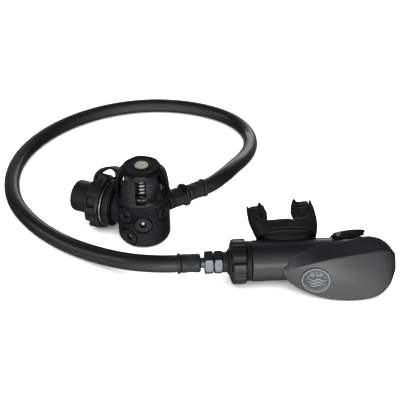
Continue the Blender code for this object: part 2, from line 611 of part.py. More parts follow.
# Lines of the purge cover at shared stations along u: (v, w) of the bottom skirt's rear edge, the lower
# front edge, the ridge, the top edge and the rear lip of the top edge.
COVER_U = (57.0, 62.0, 70.0, 82.0, 95.0, 108.0, 121.0, 132.0, 140.0, 144.6)
COVER_SKIRT = ((-16.3, -3.6), (-15.6, -9.0), (-15.6, -12.4), (-17.0, -15.6), (-18.5, -17.9), (-18.5, -19.1),
               (-18.5, -18.6), (-17.0, -15.6), (-14.5, -10.0), (-11.5, -3.6))
COVER_LOWER = ((-17.4, -2.2), (-19.6, -7.4), (-22.8, -12.3), (-27.0, -15.9), (-29.6, -18.3), (-30.3, -19.6),
               (-30.0, -19.1), (-28.4, -16.2), (-23.8, -9.8), (-16.4, -2.6))
COVER_RIDGE = ((-17.6, 1.4), (-18.2, 4.6), (-18.6, 7.8), (-18.4, 11.2), (-17.6, 13.6), (-16.2, 14.6),
               (-14.2, 15.0), (-12.0, 15.2), (-10.0, 14.2), (-11.0, 5.4))
COVER_TOP = ((-16.6, 3.4), (-13.6, 10.2), (-10.8, 13.5), (-6.8, 16.0), (-4.0, 17.4), (-2.6, 18.9),
             (-0.9, 19.8), (0.4, 20.1), (-2.0, 17.4), (-8.8, 7.0))
COVER_LIP = ((-16.3, 4.4), (-12.9, 11.1), (-9.8, 14.3), (-5.2, 16.7), (-1.9, 17.7), (0.6, 18.1),
             (2.6, 18.2), (3.4, 18.0), (0.6, 14.6), (-7.8, 7.2))
COVER_LINES = (COVER_SKIRT, COVER_LOWER, COVER_RIDGE, COVER_TOP, COVER_LIP)


def line_at(line, u):
    """Point of one cover line at u, by a smooth curve through its stations."""
    last = len(COVER_U) - 1
    i = max(k for k in range(last) if COVER_U[k] <= u or k == 0)
    span = COVER_U[i + 1] - COVER_U[i]
    t = (u - COVER_U[i]) / span

    def slope(k):
        a, b = max(k - 1, 0), min(k + 1, last)
        return (Vector(line[b]) - Vector(line[a])) / (COVER_U[b] - COVER_U[a]) * span

    p, q = Vector(line[i]), Vector(line[i + 1])
    return (p * (2 * t ** 3 - 3 * t ** 2 + 1) + slope(i) * (t ** 3 - 2 * t ** 2 + t)
            + q * (3 * t ** 2 - 2 * t ** 3) + slope(i + 1) * (t ** 3 - t ** 2))


def facet_point(u, share):
    """Point of the front facet: share 0 on its lower edge, 1 on the ridge, slightly crowned."""
    low, high = line_at(COVER_LOWER, u), line_at(COVER_RIDGE, u)
    rise = high - low
    outward = Vector((-rise.y, rise.x)).normalized()
    crown = 0.04 * rise.length * math.sin(math.pi * share)
    point = low.lerp(high, share) + outward * crown
    return Vector((u, point.x, point.y))


def cover_section(u):
    """Outline of the cover at u, from the skirt round the front to the lip."""
    skirt, low, high, top, lip = (line_at(line, u) for line in COVER_LINES)
    front = [facet_point(u, share).yz for share in (0.25, 0.5, 0.75)]
    return [skirt, skirt.lerp(low, 0.86), low.lerp(facet_point(u, 0.25).yz, 0.22), *front, high,
            high.lerp(top, 0.5) + Vector((-0.10, 0.25)) * min(1.0, (top - high).length / 8), top, lip]


def inset_section(section, wall):
    """The section moved inwards by the wall thickness, with mitred corners."""
    inner = []
    for i, point in enumerate(section):
        sides = []
        for a, b in ((i - 1, i), (i, i + 1)):
            if a >= 0 and b < len(section):
                run = section[b] - section[a]
                sides.append(Vector((run.y, -run.x)).normalized())
        normal = sides[0] if len(sides) == 1 else (sides[0] + sides[1]) / max(0.5, 1 + sides[0].dot(sides[1]))
        inner.append(point + normal * wall)
    return inner


def purge_cover(frame):
    """Faceted teardrop hood that rocks on its nose to purge."""
    nose, tail = COVER_U[0], COVER_U[-1]
    stations = sorted([*COVER_U, *((a + b) / 2 for a, b in zip(COVER_U, COVER_U[1:]))])
    rings = []
    for u in stations:
        section = cover_section(u)
        thinning = min(1.0, (u - nose) / 8 + 0.35, (tail - u) / 6 + 0.45)
        inner = inset_section(section, COVER_WALL * thinning)
        rings.append([(u, p.x, p.y) for p in section] + [(u, p.x, p.y) for p in reversed(inner)])
    hood = add_node("purge_cover", ring_body(rings), "cover_grey", frame, pivot=(57.0, -16.5, 0.0), sharp=22)
    around = turned([(BARREL_R + 0.35, 50.0), (BARREL_R + 1.3, 100.0), (BARREL_R + 1.8, BARREL_END + 3.3)])
    combine(hood, add_cutter("barrel_clearance", moved(around, U_AXIS), frame), "DIFFERENCE")
    bowl = turned([(BOWL_R + 0.5, -8.0), (BOWL_R + 0.5, 4.4)])
    combine(hood, add_cutter("bowl_clearance", moved(bowl, diaphragm_frame()), frame), "DIFFERENCE")


def cover_medallion(frame):
    """Thin round badge that follows the front facet."""
    def on_facet(r, angle, lift):
        rise = (line_at(COVER_RIDGE, MEDALLION_U) - line_at(COVER_LOWER, MEDALLION_U)).length
        u = MEDALLION_U + r * math.cos(angle)
        share = MEDALLION_F + r * math.sin(angle) / rise
        point = facet_point(u, share)
        du = facet_point(u + 0.5, share) - facet_point(u - 0.5, share)
        ds = facet_point(u, share + 0.01) - facet_point(u, share - 0.01)
        return tuple(point + du.cross(ds).normalized() * lift)

    rings = [[on_facet(r, 2 * math.pi * k / MEDIUM, lift) for k in range(MEDIUM)]
             for r, lift in ((1.0, 0.45), (MEDALLION_R, 0.45), (MEDALLION_R, 0.8),
                             (MEDALLION_R - 0.4, 1.1), (1.0, 1.1))]
    add_node("cover_medallion", ring_body(rings), "badge", frame)


def exhaust_pieces(frame):
    """Mushroom valve over the exhaust port and its vented cover."""
    out = exhaust_frame()
    flap = turned([(9.6, 18.7), (9.6, 19.3), (2.0, 20.1)])
    add_node("exhaust_valve", moved(flap, out), "silicone", frame)
    cover = [(10.4, 18.8), (11.8, 18.8), (11.8, 22.6), (10.6, 23.6), (1.5, 23.6), (1.5, 22.2), (10.4, 22.2)]
    lid = add_node("exhaust_cover", moved(turned(cover, loop=True), out), "black_body", frame)
    vents = [moved(box((3.6, 8.6), (-1.2, 1.2), (21.0, 25.0)), Matrix.Rotation(math.radians(60 * k), 4, "Z"))
             for k in range(6)]
    combine(lid, add_cutter("exhaust_vents", moved(joined(vents), out), frame), "DIFFERENCE")


def venturi_pieces(frame):
    """Leaf-shaped dive lever on top of the barrel and its pivot pin."""
    outline = [(-3.6, 0.0), (-2.6, 2.6), (0.0, 3.7), (5.0, 4.3), (11.0, 4.4), (17.0, 3.2), (21.5, 0.6),
               (19.0, -2.4), (13.0, -3.9), (6.0, -4.0), (0.0, -3.7), (-2.6, -2.6)]
    hub = Vector((102.0, 6.6, 0.0))

    def layer(height, shrink):
        points = []
        for x, y in outline:
            lift = 0.10 * max(0.0, x) + height
            points.append((hub.x + x * shrink, hub.y + y * shrink, lift))
        return points

    leaf = ring_body([layer(16.6, 0.9), layer(17.1, 1.0), layer(18.1, 1.0), layer(18.8, 0.82)])
    blade = add_node("venturi_lever", leaf, "black_body", frame, pivot=tuple(hub))
    hole = moved(turned([(1.7, 10.0), (1.7, 24.0)], SMALL), Matrix.Translation(hub))
    combine(blade, add_cutter("lever_hole", hole, frame), "DIFFERENCE")
    pin = turned([(1.3, 15.4), (1.3, 19.4), (2.4, 19.4), (2.4, 20.0), (1.9, 20.4)], SMALL)
    add_node("venturi_pin", moved(pin, Matrix.Translation(hub)), "steel", frame)


def leaning(shape):
    """The shape, pushed sideways in step with its height above the port, with one side a little low."""
    verts, faces = shape
    foot, full = 24.6, 12.0
    out = []
    for x, y, z in verts:
        rise = max(0.0, z - foot)
        out.append((x + MOUTH_LEAN * rise, y, z + MOUTH_ROLL * x * min(1.0, rise / full)))
    return out, faces


def mouthpiece_pieces(frame):
    """Soft mouthpiece with bite plates and their edge ridges, and the tie around its collar."""
    out = mouth_frame()
    neck_a, neck_b = PORT_A + 3.0, PORT_B + 2.8
    rings = [oval(neck_a, neck_b, 16.8), oval(20.2, 11.8, 16.8), oval(20.2, 11.8, 20.8),
             oval(22.5, 13.9, 20.8), oval(22.6, 14.0, 21.0, bend=-4.6), oval(24.2, 14.2, 21.6, bend=-4.8),
             oval(26.3, 13.5, 25.0, bend=0.8), oval(27.3, 13.0, 27.0, bend=4.4),
             oval(27.5, 12.4, 28.6, bend=8.4), oval(26.0, 11.4, 30.6, bend=17.1),
             oval(23.6, 10.0, 30.2, bend=8.3), oval(16.0, 7.4, 29.4, bend=1.0),
             oval(12.6, 5.6, 28.4), oval(12.6, 5.6, 24.6), oval(neck_a, neck_b, 24.6)]
    soft = add_node("mouthpiece", moved(leaning(ring_body(rings, loop=True)), out), "silicone", frame)
    ridge = ((9.9, 41.0), (11.6, 46.4), (14.0, 51.0), (15.6, 49.4), (15.6, 29.0), (12.8, 29.0), (10.6, 35.6))
    for i, side in enumerate((-1, 1), 1):
        plate = box(sorted((side * 12.4, side * 23.8)), (-2.2, 2.2), (28.6, 48.2))
        edge = ring_body([[(side * x, y, z) for x, z in ridge] for y in (-4.6, 4.6)])
        combine(soft, add_cutter(f"bite_plate_{i}", moved(leaning(plate), out), frame), "UNION")
        combine(soft, add_cutter(f"bite_ridge_{i}", moved(leaning(edge), out), frame), "UNION")
    band = [oval(20.6, 12.2, 17.2), oval(22.0, 13.6, 17.2), oval(22.0, 13.6, 20.2), oval(20.6, 12.2, 20.2)]
    add_node("mouthpiece_clamp", moved(ring_body(band, loop=True), out), "dark_matt", frame)


def build():
    clear_scene()
    first_stage_body()
    port_plugs()
    spring_cap()
    cap_top_pieces()
    regulating_stack()

    din = empty("din_axis", radial(DIN_AZIMUTH, DIN_Z))
    din_connector(din)
    dust_cap(din)
    dust_cap_strap(din)

    outlet = radial(LP_AZIMUTH, LP_Z)
    lp_outlet(empty("outlet_axis", outlet))
    second = Matrix.Translation(SECOND_ORIGIN) @ Matrix.Rotation(math.radians(SECOND_YAW), 4, "Z")
    hose(outlet, second)

    frame = empty("second_stage_axis", second)
    hose_end(frame)
    inlet_pieces(frame)
    case(frame)
    demand_valve(frame)
    diaphragm_pieces(frame)
    purge_cover(frame)
    cover_medallion(frame)
    exhaust_pieces(frame)
    venturi_pieces(frame)
    mouthpiece_pieces(frame)


build()
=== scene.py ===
"""Looks for the scuba regulator set: finer pieces, materials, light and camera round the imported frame.

Shapes are written in millimetres; piece() turns them into metres. +Z is up, and the second stage has
its own frame: u along its barrel, v to the back, w up.
"""
import json
from math import copysign, cos, exp, hypot, pi, radians, sin, sqrt

import bmesh
import bpy
from mathutils import Matrix, Vector, noise


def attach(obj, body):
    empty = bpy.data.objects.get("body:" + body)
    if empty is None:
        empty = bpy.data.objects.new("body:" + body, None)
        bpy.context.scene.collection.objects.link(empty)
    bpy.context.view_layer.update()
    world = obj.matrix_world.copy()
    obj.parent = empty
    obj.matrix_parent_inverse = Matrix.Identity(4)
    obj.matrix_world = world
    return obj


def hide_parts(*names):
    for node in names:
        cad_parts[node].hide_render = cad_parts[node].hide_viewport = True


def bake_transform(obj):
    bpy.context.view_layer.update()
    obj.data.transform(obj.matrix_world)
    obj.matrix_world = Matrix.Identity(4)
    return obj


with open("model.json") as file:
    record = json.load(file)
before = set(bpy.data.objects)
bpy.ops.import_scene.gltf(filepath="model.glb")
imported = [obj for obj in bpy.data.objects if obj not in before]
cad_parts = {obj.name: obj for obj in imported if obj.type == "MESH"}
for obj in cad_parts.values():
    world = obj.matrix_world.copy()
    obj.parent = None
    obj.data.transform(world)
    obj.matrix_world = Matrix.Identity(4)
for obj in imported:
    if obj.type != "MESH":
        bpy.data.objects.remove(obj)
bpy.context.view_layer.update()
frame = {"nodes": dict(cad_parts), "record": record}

MM = 0.001
FINE, MEDIUM, COARSE = 144, 96, 48      # sides of a round piece, by its size
LOBED = 288                             # sides of a piece with grip lobes


# ---------------- frames
def along(origin, direction, up=(0, 0, 1)):
    """Matrix whose local Z is direction and whose local Y leans to up."""
    z = Vector(direction).normalized()
    x = Vector(up).cross(z).normalized()
    matrix = Matrix((x, z.cross(x), z)).transposed().to_4x4()
    matrix.translation = Vector(origin)
    return matrix


def spun(degrees):
    """Turn about local Z."""
    return Matrix.Rotation(radians(degrees), 4, "Z")


def radial(azimuth, height):
    """Frame on the first stage's axis that points out at an azimuth from the front."""
    a = radians(azimuth)
    return along((0, 0, height), (sin(a), -cos(a), 0))


def tilted(origin, degrees, back=1):
    """Second stage frame whose local Z points to the back (or front) and up by degrees."""
    a = radians(degrees)
    return SECOND @ along(origin, (0, back * cos(a), sin(a)))


WORLD = Matrix.Identity(4)
DIN = radial(-112, 24)
OUTLET = radial(123, 25.5)
SECOND = Matrix.Translation((55.1, -64.1, 20)) @ spun(3.4)
BARREL = SECOND @ along((0, 0, 0), (1, 0, 0))
DIAPHRAGM = tilted((110, -13, -1.5), 37.4, -1)
EXHAUST = tilted((114, 0, 0), -15)
MOUTH = tilted((63.1, 0, 0), 30)


# ---------------- materials
class Nodes:
    """A node tree with short calls to add to it."""

    def __init__(self, tree):
        self.tree = tree

    def node(self, kind, inputs=(), **values):
        """New node with its settings, and its inputs filled with values or linked to sockets."""
        made = self.tree.nodes.new(kind)
        for key, value in values.items():
            setattr(made, key, value)
        for key, value in dict(inputs).items():
            self.fill(made.inputs[key], value)
        return made

    def fill(self, socket, value):
        if isinstance(value, bpy.types.NodeSocket):
            self.tree.links.new(value, socket)
        elif isinstance(value, tuple) and socket.type == "RGBA":
            socket.default_value = (*value, 1)
        else:
            socket.default_value = value

    def ramp(self, source, low, high, start=0.3, stop=0.7):
        made = self.node("ShaderNodeMapRange", {
            "Value": source, "From Min": start, "From Max": stop, "To Min": low, "To Max": high})
        return made.outputs["Result"]


class Shader(Nodes):
    """A principled material with texture, relief and wear."""

    def __init__(self, name):
        self.material = bpy.data.materials.new(name)
        self.material.use_nodes = True
        super().__init__(self.material.node_tree)
        self.bsdf = self.tree.nodes["Principled BSDF"]
        self.place = self.node("ShaderNodeTexCoord").outputs["Object"]
        self.height = None

    def stretched(self, scale):
        return self.node("ShaderNodeMapping", {"Vector": self.place, "Scale": scale}).outputs["Vector"]

    def noise(self, scale, detail=3, roughness=0.6, vector=None):
        made = self.node("ShaderNodeTexNoise", {
            "Vector": vector or self.place, "Scale": scale, "Detail": detail, "Roughness": roughness})
        return made.outputs["Fac"]

    def cells(self, scale):
        return self.node("ShaderNodeTexVoronoi", {"Vector": self.place, "Scale": scale}).outputs["Distance"]

    def mix(self, share, a, b):
        return self.node("ShaderNodeMix", {"Factor": share, 6: a, 7: b}, data_type="RGBA").outputs[2]

    def relieved(self, normal):
        """Makes a node's normal the surface's own."""
        self.height = normal
        self.fill(self.bsdf.inputs["Normal"], normal)
        return normal

    def bump(self, source, strength, depth):
        """Adds relief of depth metres."""
        inputs = {"Height": source, "Strength": strength, "Distance": depth}
        if self.height:
            inputs["Normal"] = self.height
        self.relieved(self.node("ShaderNodeBump", inputs).outputs["Normal"])

    def soften(self, radius):
        """Rounds sharp edges in the shading by radius metres."""
        return self.relieved(self.node("ShaderNodeBevel", {"Radius": radius}, samples=6).outputs["Normal"])

    def worn(self, colour, wear, radius=0.0006):
        """Lighter colour along rubbed edges."""
        smooth = self.soften(radius)
        sharp = self.node("ShaderNodeNewGeometry").outputs["Normal"]
        dot = self.node("ShaderNodeVectorMath", {0: smooth, 1: sharp}, operation="DOT_PRODUCT")
        edge = self.ramp(dot.outputs["Value"], 1, 0, 0.86, 0.985)
        patch = self.ramp(self.noise(420, 4), 0, 1, 0.46, 0.62)
        both = self.node("ShaderNodeMath", {0: edge, 1: patch}, operation="MULTIPLY")
        return self.mix(both.outputs[0], colour, wear)

    def finish(self, colour, roughness, metallic=0, specular=0.5, coat=0):
        values = {"Base Color": colour, "Roughness": roughness, "Metallic": metallic,
                  "Specular IOR Level": specular, "Coat Weight": coat, "Coat Roughness": 0.2}
        for name, value in values.items():
            self.fill(self.bsdf.inputs[name], value)
        return self.material


def shade(colour):
    """Linear colour from whole ten-thousandths."""
    return tuple(part / 10000 for part in colour)


def blasted(name, dark, light, roughness, grain=2600, metallic=0, coat=0, specular=0.5, wear=None):
    """Bead-blasted and coloured metal, or moulded plastic with a fine matt grain."""
    s = Shader(name)
    colour = s.mix(s.ramp(s.noise(38, 4), 0, 1), shade(dark), shade(light))
    if wear:
        colour = s.worn(colour, shade(wear))
    else:
        s.soften(0.0004)
    s.bump(s.noise(grain, 2), 0.3, 0.00004)
    s.bump(s.noise(grain / 5, 2), 0.05, 0.00006)
    rough = s.ramp(s.noise(90, 4), roughness - 0.03, roughness + 0.05)
    return s.finish(colour, rough, metallic, specular, coat)


def elastic(name, dark, light, roughness, grain=1500, depth=0.00006, dust=0.06, specular=0.45,
            relief=0.5):
    """Rubber with fine grain, faint rub marks and a little dust in places."""
    s = Shader(name)
    s.soften(0.0005)
    colour = s.mix(s.ramp(s.noise(60, 5), 0, 1), shade(dark), shade(light))
    pale = tuple(c + dust * k for c, k in zip(shade(light), (1, 0.97, 0.92)))
    colour = s.mix(s.ramp(s.noise(310, 6, 0.75), 0, 0.35, 0.58, 0.82), colour, pale)
    s.bump(s.noise(grain, 3), relief, depth)
    s.bump(s.cells(grain / 5), 0.36 * relief, depth)
    rough = s.ramp(s.noise(140, 4), roughness - 0.12 * relief, roughness + 0.16 * relief)
    return s.finish(colour, rough, 0, specular)


def machined(name, dark, light, roughness, axis_scale, metallic=1):
    """Turned metal: fine tool marks run round the axis that axis_scale stretches least."""
    s = Shader(name)
    s.soften(0.00025)
    lines = s.noise(1, 2, 0.5, s.stretched(axis_scale))
    colour = s.mix(s.ramp(s.noise(55, 4), 0, 1), shade(dark), shade(light))
    s.bump(lines, 0.22, 0.00003)
    rough = s.ramp(s.noise(160, 4), roughness - 0.04, roughness + 0.1)
    return s.finish(colour, rough, metallic)


def pearl(name, left, right, roughness):
    """Pale disc whose colour runs from left to right across the first stage's axis."""
    s = Shader(name)
    split = s.node("ShaderNodeSeparateXYZ", {0: s.place})
    share = s.ramp(split.outputs["X"], 0, 1, -0.0035, 0.0035)
    colour = s.mix(share, shade(left), shade(right))
    pale = tuple(c * 1.35 for c in shade(left))
    colour = s.mix(s.ramp(s.noise(520, 4), 0, 0.5, 0.5, 0.75), colour, pale)
    s.bump(s.noise(900, 2), 0.2, 0.00004)
    return s.finish(colour, roughness, 0, 0.4, 0.2)


MATERIALS = {                            # colours in ten-thousandths
    "body": blasted("anodised_body", (15, 18, 24), (25, 28, 36), 0.38, specular=0.17,
        wear=(160, 160, 180)),
    "bell": blasted("bell_gloss", (12, 14, 18), (20, 23, 28), 0.24, 3200, coat=0.04, specular=0.26,
        wear=(180, 180, 200)),
    "wheel": blasted("hand_wheel_moulding", (16, 17, 17), (28, 30, 28), 0.36, 1800, specular=0.32,
        wear=(120, 120, 120)),
    "matt": blasted("matt_disc", (10, 10, 11), (18, 18, 19), 0.6, 1500, specular=0.1),
    "ring": blasted("lock_ring_moulding", (12, 13, 15), (20, 22, 24), 0.24, 2400, coat=0.08,
        specular=0.36, wear=(120, 120, 120)),
    "graphite": blasted("graphite_metal", (30, 32, 36), (50, 53, 58), 0.24, 2600, metallic=0.1,
        specular=0.4, wear=(300, 300, 330)),
    "nickel": machined("dark_nickel", (1000, 1040, 1100), (1500, 1550, 1650), 0.3, (900, 60, 60)),
    "case": blasted("barrel_moulding", (18, 19, 24), (28, 29, 36), 0.26, 2300, coat=0.06, specular=0.5),
    "cover": blasted("cover_moulding", (26, 28, 32), (40, 42, 48), 0.28, 2100, specular=0.62),
    "rubber": elastic("cap_rubber", (14, 14, 14), (26, 26, 25), 0.44, dust=0.007, specular=0.26),
    "hose": elastic("hose_rubber", (14, 14, 15), (24, 24, 25), 0.29, 1900, 0.00003, 0.004, specular=0.48,
        relief=0.22),
    "silicone": elastic("mouthpiece_silicone", (14, 15, 13), (26, 27, 23), 0.42, 1100, 0.00009, 0.006,
        specular=0.24),
    "steel": machined("bright_steel", (4200, 4300, 4500), (5600, 5700, 5800), 0.24, (300, 300, 2600)),
    "dull": machined("spring_steel", (2200, 2200, 2200), (3200, 3200, 3200), 0.26, (300, 300, 2600)),
    "brass": machined("dull_brass", (1800, 1550, 1150), (2700, 2400, 1800), 0.34, (300, 300, 2600)),
    "dark_brass": machined("aged_brass", (180, 150, 100), (300, 260, 180), 0.45, (300, 300, 2600)),
    "insert": pearl("pale_insert", (750, 900, 950), (1100, 1040, 500), 0.3),
    "badge": blasted("badge_dark", (45, 52, 62), (70, 78, 90), 0.3, 2200, specular=0.55),
    "print": blasted("badge_print", (850, 980, 1050), (1250, 1400, 1470), 0.42, 2200),
}


# ---------------- shapes
def ring_body(rings, loop=False):
    """Closed body through rings of equal point count, capped or joined end to start."""
    count = len(rings[0])
    verts = [tuple(point) for ring in rings for point in ring]
    faces = []
    for i in range(len(rings) if loop else len(rings) - 1):
        a, b = i * count, (i + 1) % len(rings) * count
        faces += [(a + k, a + (k + 1) % count, b + (k + 1) % count, b + k) for k in range(count)]
    if not loop:
        faces += [tuple(range(count)), tuple(range(len(verts) - count, len(verts)))]
    return verts, faces


def rounded(points, radius=0.4, steps=4, loop=False):
    """The outline with rounded corners; a corner's own third number overrides radius."""
    radii = [p[2] if len(p) > 2 else radius for p in points]
    flat = [Vector(p[:2]) for p in points]
    out = []
    for i, p in enumerate(flat):
        if not loop and i in (0, len(flat) - 1):
            out.append(tuple(p))
            continue
        a, b = flat[i - 1] - p, flat[(i + 1) % len(flat)] - p
        r = min(radii[i], 0.45 * a.length, 0.45 * b.length)
        start, end = p + a.normalized() * r, p + b.normalized() * r
        for k in range(steps + 1):
            t = k / steps
            out.append(tuple(start.lerp(p, t).lerp(p.lerp(end, t), t)))
    return out


def turns(n):
    return [2 * pi * k / n for k in range(n)]


def circle(r, z, n=MEDIUM):
    return [(r * cos(t), r * sin(t), z) for t in turns(n)]


def circles(*sizes, n=MEDIUM):
    """A circle for each (radius, height)."""
    return [circle(r, z, n) for r, z in sizes]


def turned(profile, n=MEDIUM, loop=False, radius=0.4, steps=3):
    """Body turned about Z from (radius, height) points with rounded corners."""
    return ring_body([circle(r, z, n) for r, z in rounded(profile, radius, steps, loop)], loop)


def hexagon(across_flats, z, n=MEDIUM, cut_r=99):
    """Hexagon sampled at n angles, with its corners turned back to cut_r."""
    ring = []
    for t in turns(n):
        to_flat = (t + pi / 6) % (pi / 3) - pi / 6
        r = min(cut_r, across_flats / 2 / cos(to_flat))
        ring.append((r * cos(t), r * sin(t), z))
    return ring


def lobed(r_top, r_valley, lobes, z, n, share=0.62, edge=0.16):
    """Circle with flat-topped lobes; share is a lobe's part of its pitch."""
    ring = []
    for k, t in enumerate(turns(n)):
        phase = abs((k * lobes / n) % 1 - 0.5) * 2
        blend = min(1, max(0, (phase - (1 - share)) / edge + 0.5))
        r = r_valley + (r_top - r_valley) * blend * blend * (3 - 2 * blend)
        ring.append((r * cos(t), r * sin(t), z))
    return ring


def oval(a, b, z, n=MEDIUM, power=2.4, bend=0, steep=3):
    """Superellipse of half sizes a and b; bend lifts its ends along z."""
    ring = []
    for t in turns(n):
        c, s = cos(t), sin(t)
        x = a * copysign(abs(c) ** (2 / power), c)
        y = b * copysign(abs(s) ** (2 / power), s)
        ring.append((x, y, z + bend * abs(x / 25) ** steep))
    return ring


def block(outline, low, high):
    """Prism over a flat outline."""
    return ring_body([[(x, y, z) for x, y in outline] for z in (low, high)])


def smooth_path(points, count, first_way=None, last_way=None):
    """count evenly spaced points of a smooth curve, with given directions at its ends."""
    control = [Vector(p) for p in points]
    steps = 24

    def tangent(i):
        if i == 0:
            return Vector(first_way or control[1] - control[0]).normalized()
        if i == len(control) - 1:
            return Vector(last_way or control[-1] - control[-2]).normalized()
        back, ahead = control[i] - control[i - 1], control[i + 1] - control[i]
        return back / back.length + ahead / ahead.length - (back + ahead) / (back.length + ahead.length)

    dense = []
    for i in range(len(control) - 1):
        p, q = control[i], control[i + 1]
        m, n = (tangent(k) * (q - p).length for k in (i, i + 1))
        for t in (k / steps for k in range(steps)):
            dense.append(p * (2 * t ** 3 - 3 * t ** 2 + 1) + m * (t ** 3 - 2 * t ** 2 + t)
                         + q * (3 * t ** 2 - 2 * t ** 3) + n * (t ** 3 - t ** 2))
    dense.append(control[-1])
    run = [0]
    for a, b in zip(dense, dense[1:]):
        run.append(run[-1] + (b - a).length)
    path, at = [], 0
    for k in range(count):
        want = run[-1] * k / (count - 1)
        while at < len(run) - 2 and run[at + 1] < want:
            at += 1
        path.append(dense[at].lerp(dense[at + 1], (want - run[at]) / (run[at + 1] - run[at])))
    return path


def swept(path, section, start_x=(0, 0, 1)):
    """Body with a flat section swept along a path without twist; section may depend on the step."""
    side = Vector(start_x)
    rings = []
    for i, point in enumerate(path):
        way = (path[min(i + 1, len(path) - 1)] - path[max(i - 1, 0)]).normalized()
        side = (side - way * side.dot(way)).normalized()
        up = way.cross(side)
        shape = section(i) if callable(section) else section
        rings.append([tuple(point + side * x + up * y) for x, y in shape])
    return ring_body(rings)


def coil(radius, wire_r, z0, z1, count, per_turn=40, sides=14):
    """Round wire coil about Z with closed end turns."""
    steps = int(count * per_turn)
    path = []
    for i in range(steps + 1):
        share = i / steps
        dead = min(0.9 / count, 0.3)
        eased = min(1, max(0, (share - dead * 0.5) / (1 - dead)))
        z = z0 + wire_r + (z1 - z0 - 2 * wire_r) * eased
        t = 2 * pi * i / per_turn
        path.append(Vector((radius * cos(t), radius * sin(t), z)))
    wire = [(wire_r * cos(a), wire_r * sin(a)) for a in turns(sides)]
    return swept(path, wire, (1, 0, 0))


def placed(shape, matrix):
    verts, faces = shape
    return [tuple(matrix @ Vector(v)) for v in verts], faces


def joined(shapes):
    verts, faces = [], []
    for v, f in shapes:
        faces += [tuple(i + len(verts) for i in face) for face in f]
        verts += v
    return verts, faces


def solid(name, shape, matrix):
    """Mesh object in metres with outward normals."""
    verts, faces = placed(shape, matrix)
    mesh = bpy.data.meshes.new(name)
    mesh.from_pydata([Vector(v) * MM for v in verts], [], faces)
    work = bmesh.new()
    work.from_mesh(mesh)
    bmesh.ops.recalc_face_normals(work, faces=work.faces)
    work.to_mesh(mesh)
    work.free()
    obj = bpy.data.objects.new(name, mesh)
    bpy.context.scene.collection.objects.link(obj)
    return obj


def bake(obj):
    """Applies the object's modifiers."""
    graph = bpy.context.evaluated_depsgraph_get()
    mesh = bpy.data.meshes.new_from_object(obj.evaluated_get(graph))
    obj.modifiers.clear()
    obj.data = mesh


def cut(shape, matrix):
    return "DIFFERENCE", shape, matrix


def add(shape, matrix):
    return "UNION", shape, matrix


def carve(obj, *tools):
    """Cuts or joins tools made by cut() and add()."""
    for operation, shape, matrix in tools:
        tool = solid("tool", shape, matrix)
        modifier = obj.modifiers.new("cut", "BOOLEAN")
        modifier.operation = operation
        modifier.solver = "EXACT"
        modifier.object = tool
        bake(obj)
        bpy.data.objects.remove(tool, do_unlink=True)


def paint(obj, look):
    obj.data.materials.clear()
    obj.data.materials.append(MATERIALS[look])


def smooth(obj, sharp):
    """Smooth shading, but for edges sharper than sharp degrees."""
    obj.data.shade_smooth()
    obj.data.set_sharp_from_angle(angle=radians(sharp))


def dress(obj, look, body, nodes, sharp):
    """Gives a piece its look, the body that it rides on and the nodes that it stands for."""
    paint(obj, look)
    smooth(obj, sharp)
    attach(obj, body)
    if nodes:
        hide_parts(*nodes)
    return obj


def piece(name, shape, matrix, look, nodes=None, tools=(), sharp=38):
    """A finished piece that stands for CAD nodes of one body, or for its own name's node."""
    nodes = (name[:-5],) if nodes is None else nodes
    obj = solid(name, shape, matrix)
    carve(obj, *tools)
    return dress(obj, look, BODY_OF[nodes[0]], nodes, sharp)


BODY_OF = {node: body for body, nodes in frame["record"]["behaviour"]["bodies"].items() for node in nodes}
SLOT_OF = {row["node"]: row["material_slot"] for row in frame["record"]["subparts"]}


# ---------------- camera and hose
FOCAL_PX, FRAME_PX, SENSOR = 757, 400, 36
camera = bpy.data.objects.new("camera", bpy.data.cameras.new("camera"))
camera.data.sensor_width = SENSOR
camera.data.lens = SENSOR * FOCAL_PX / FRAME_PX
camera.location = (0.048, -0.524, 0.402)
camera.rotation_euler = (radians(55), 0, 0)
camera.data.clip_start, camera.data.clip_end = 0.02, 20
bpy.context.scene.collection.objects.link(camera)
bpy.context.scene.camera = camera

HOSE_R = 7
FERRULE_R, FERRULE_LENGTH = 7.65, 18.6
FIRST_FERRULE, SECOND_FERRULE = 42.9, -6.6
STUB = 2
REST_Z = HOSE_R + 0.1
HOSE_ROUTE = (
    (69, 51.6, 25.8), (79.7, 71.9, 23), (89.7, 94.8, 18), (96.5, 118.5, 13), (99, 137.4, 9.5),
    (98.4, 154.9, 7.6), (93.6, 172, REST_Z), (84.4, 187.2, REST_Z), (70.3, 200.8, REST_Z),
    (53, 211.2, REST_Z), (30, 219.4, REST_Z), (0.2, 223, REST_Z), (-47.2, 213.2, REST_Z),
    (-90.3, 184.6, REST_Z), (-116.4, 149.3, REST_Z), (-128.9, 112.7, REST_Z), (-130.1, 77.6, REST_Z),
    (-119.4, 38, REST_Z), (-95.2, 2.6, REST_Z), (-63.9, -24.8, 7.6), (-29.2, -45.6, 10.6),
    (-0.4, -60.6, 16.8),
)


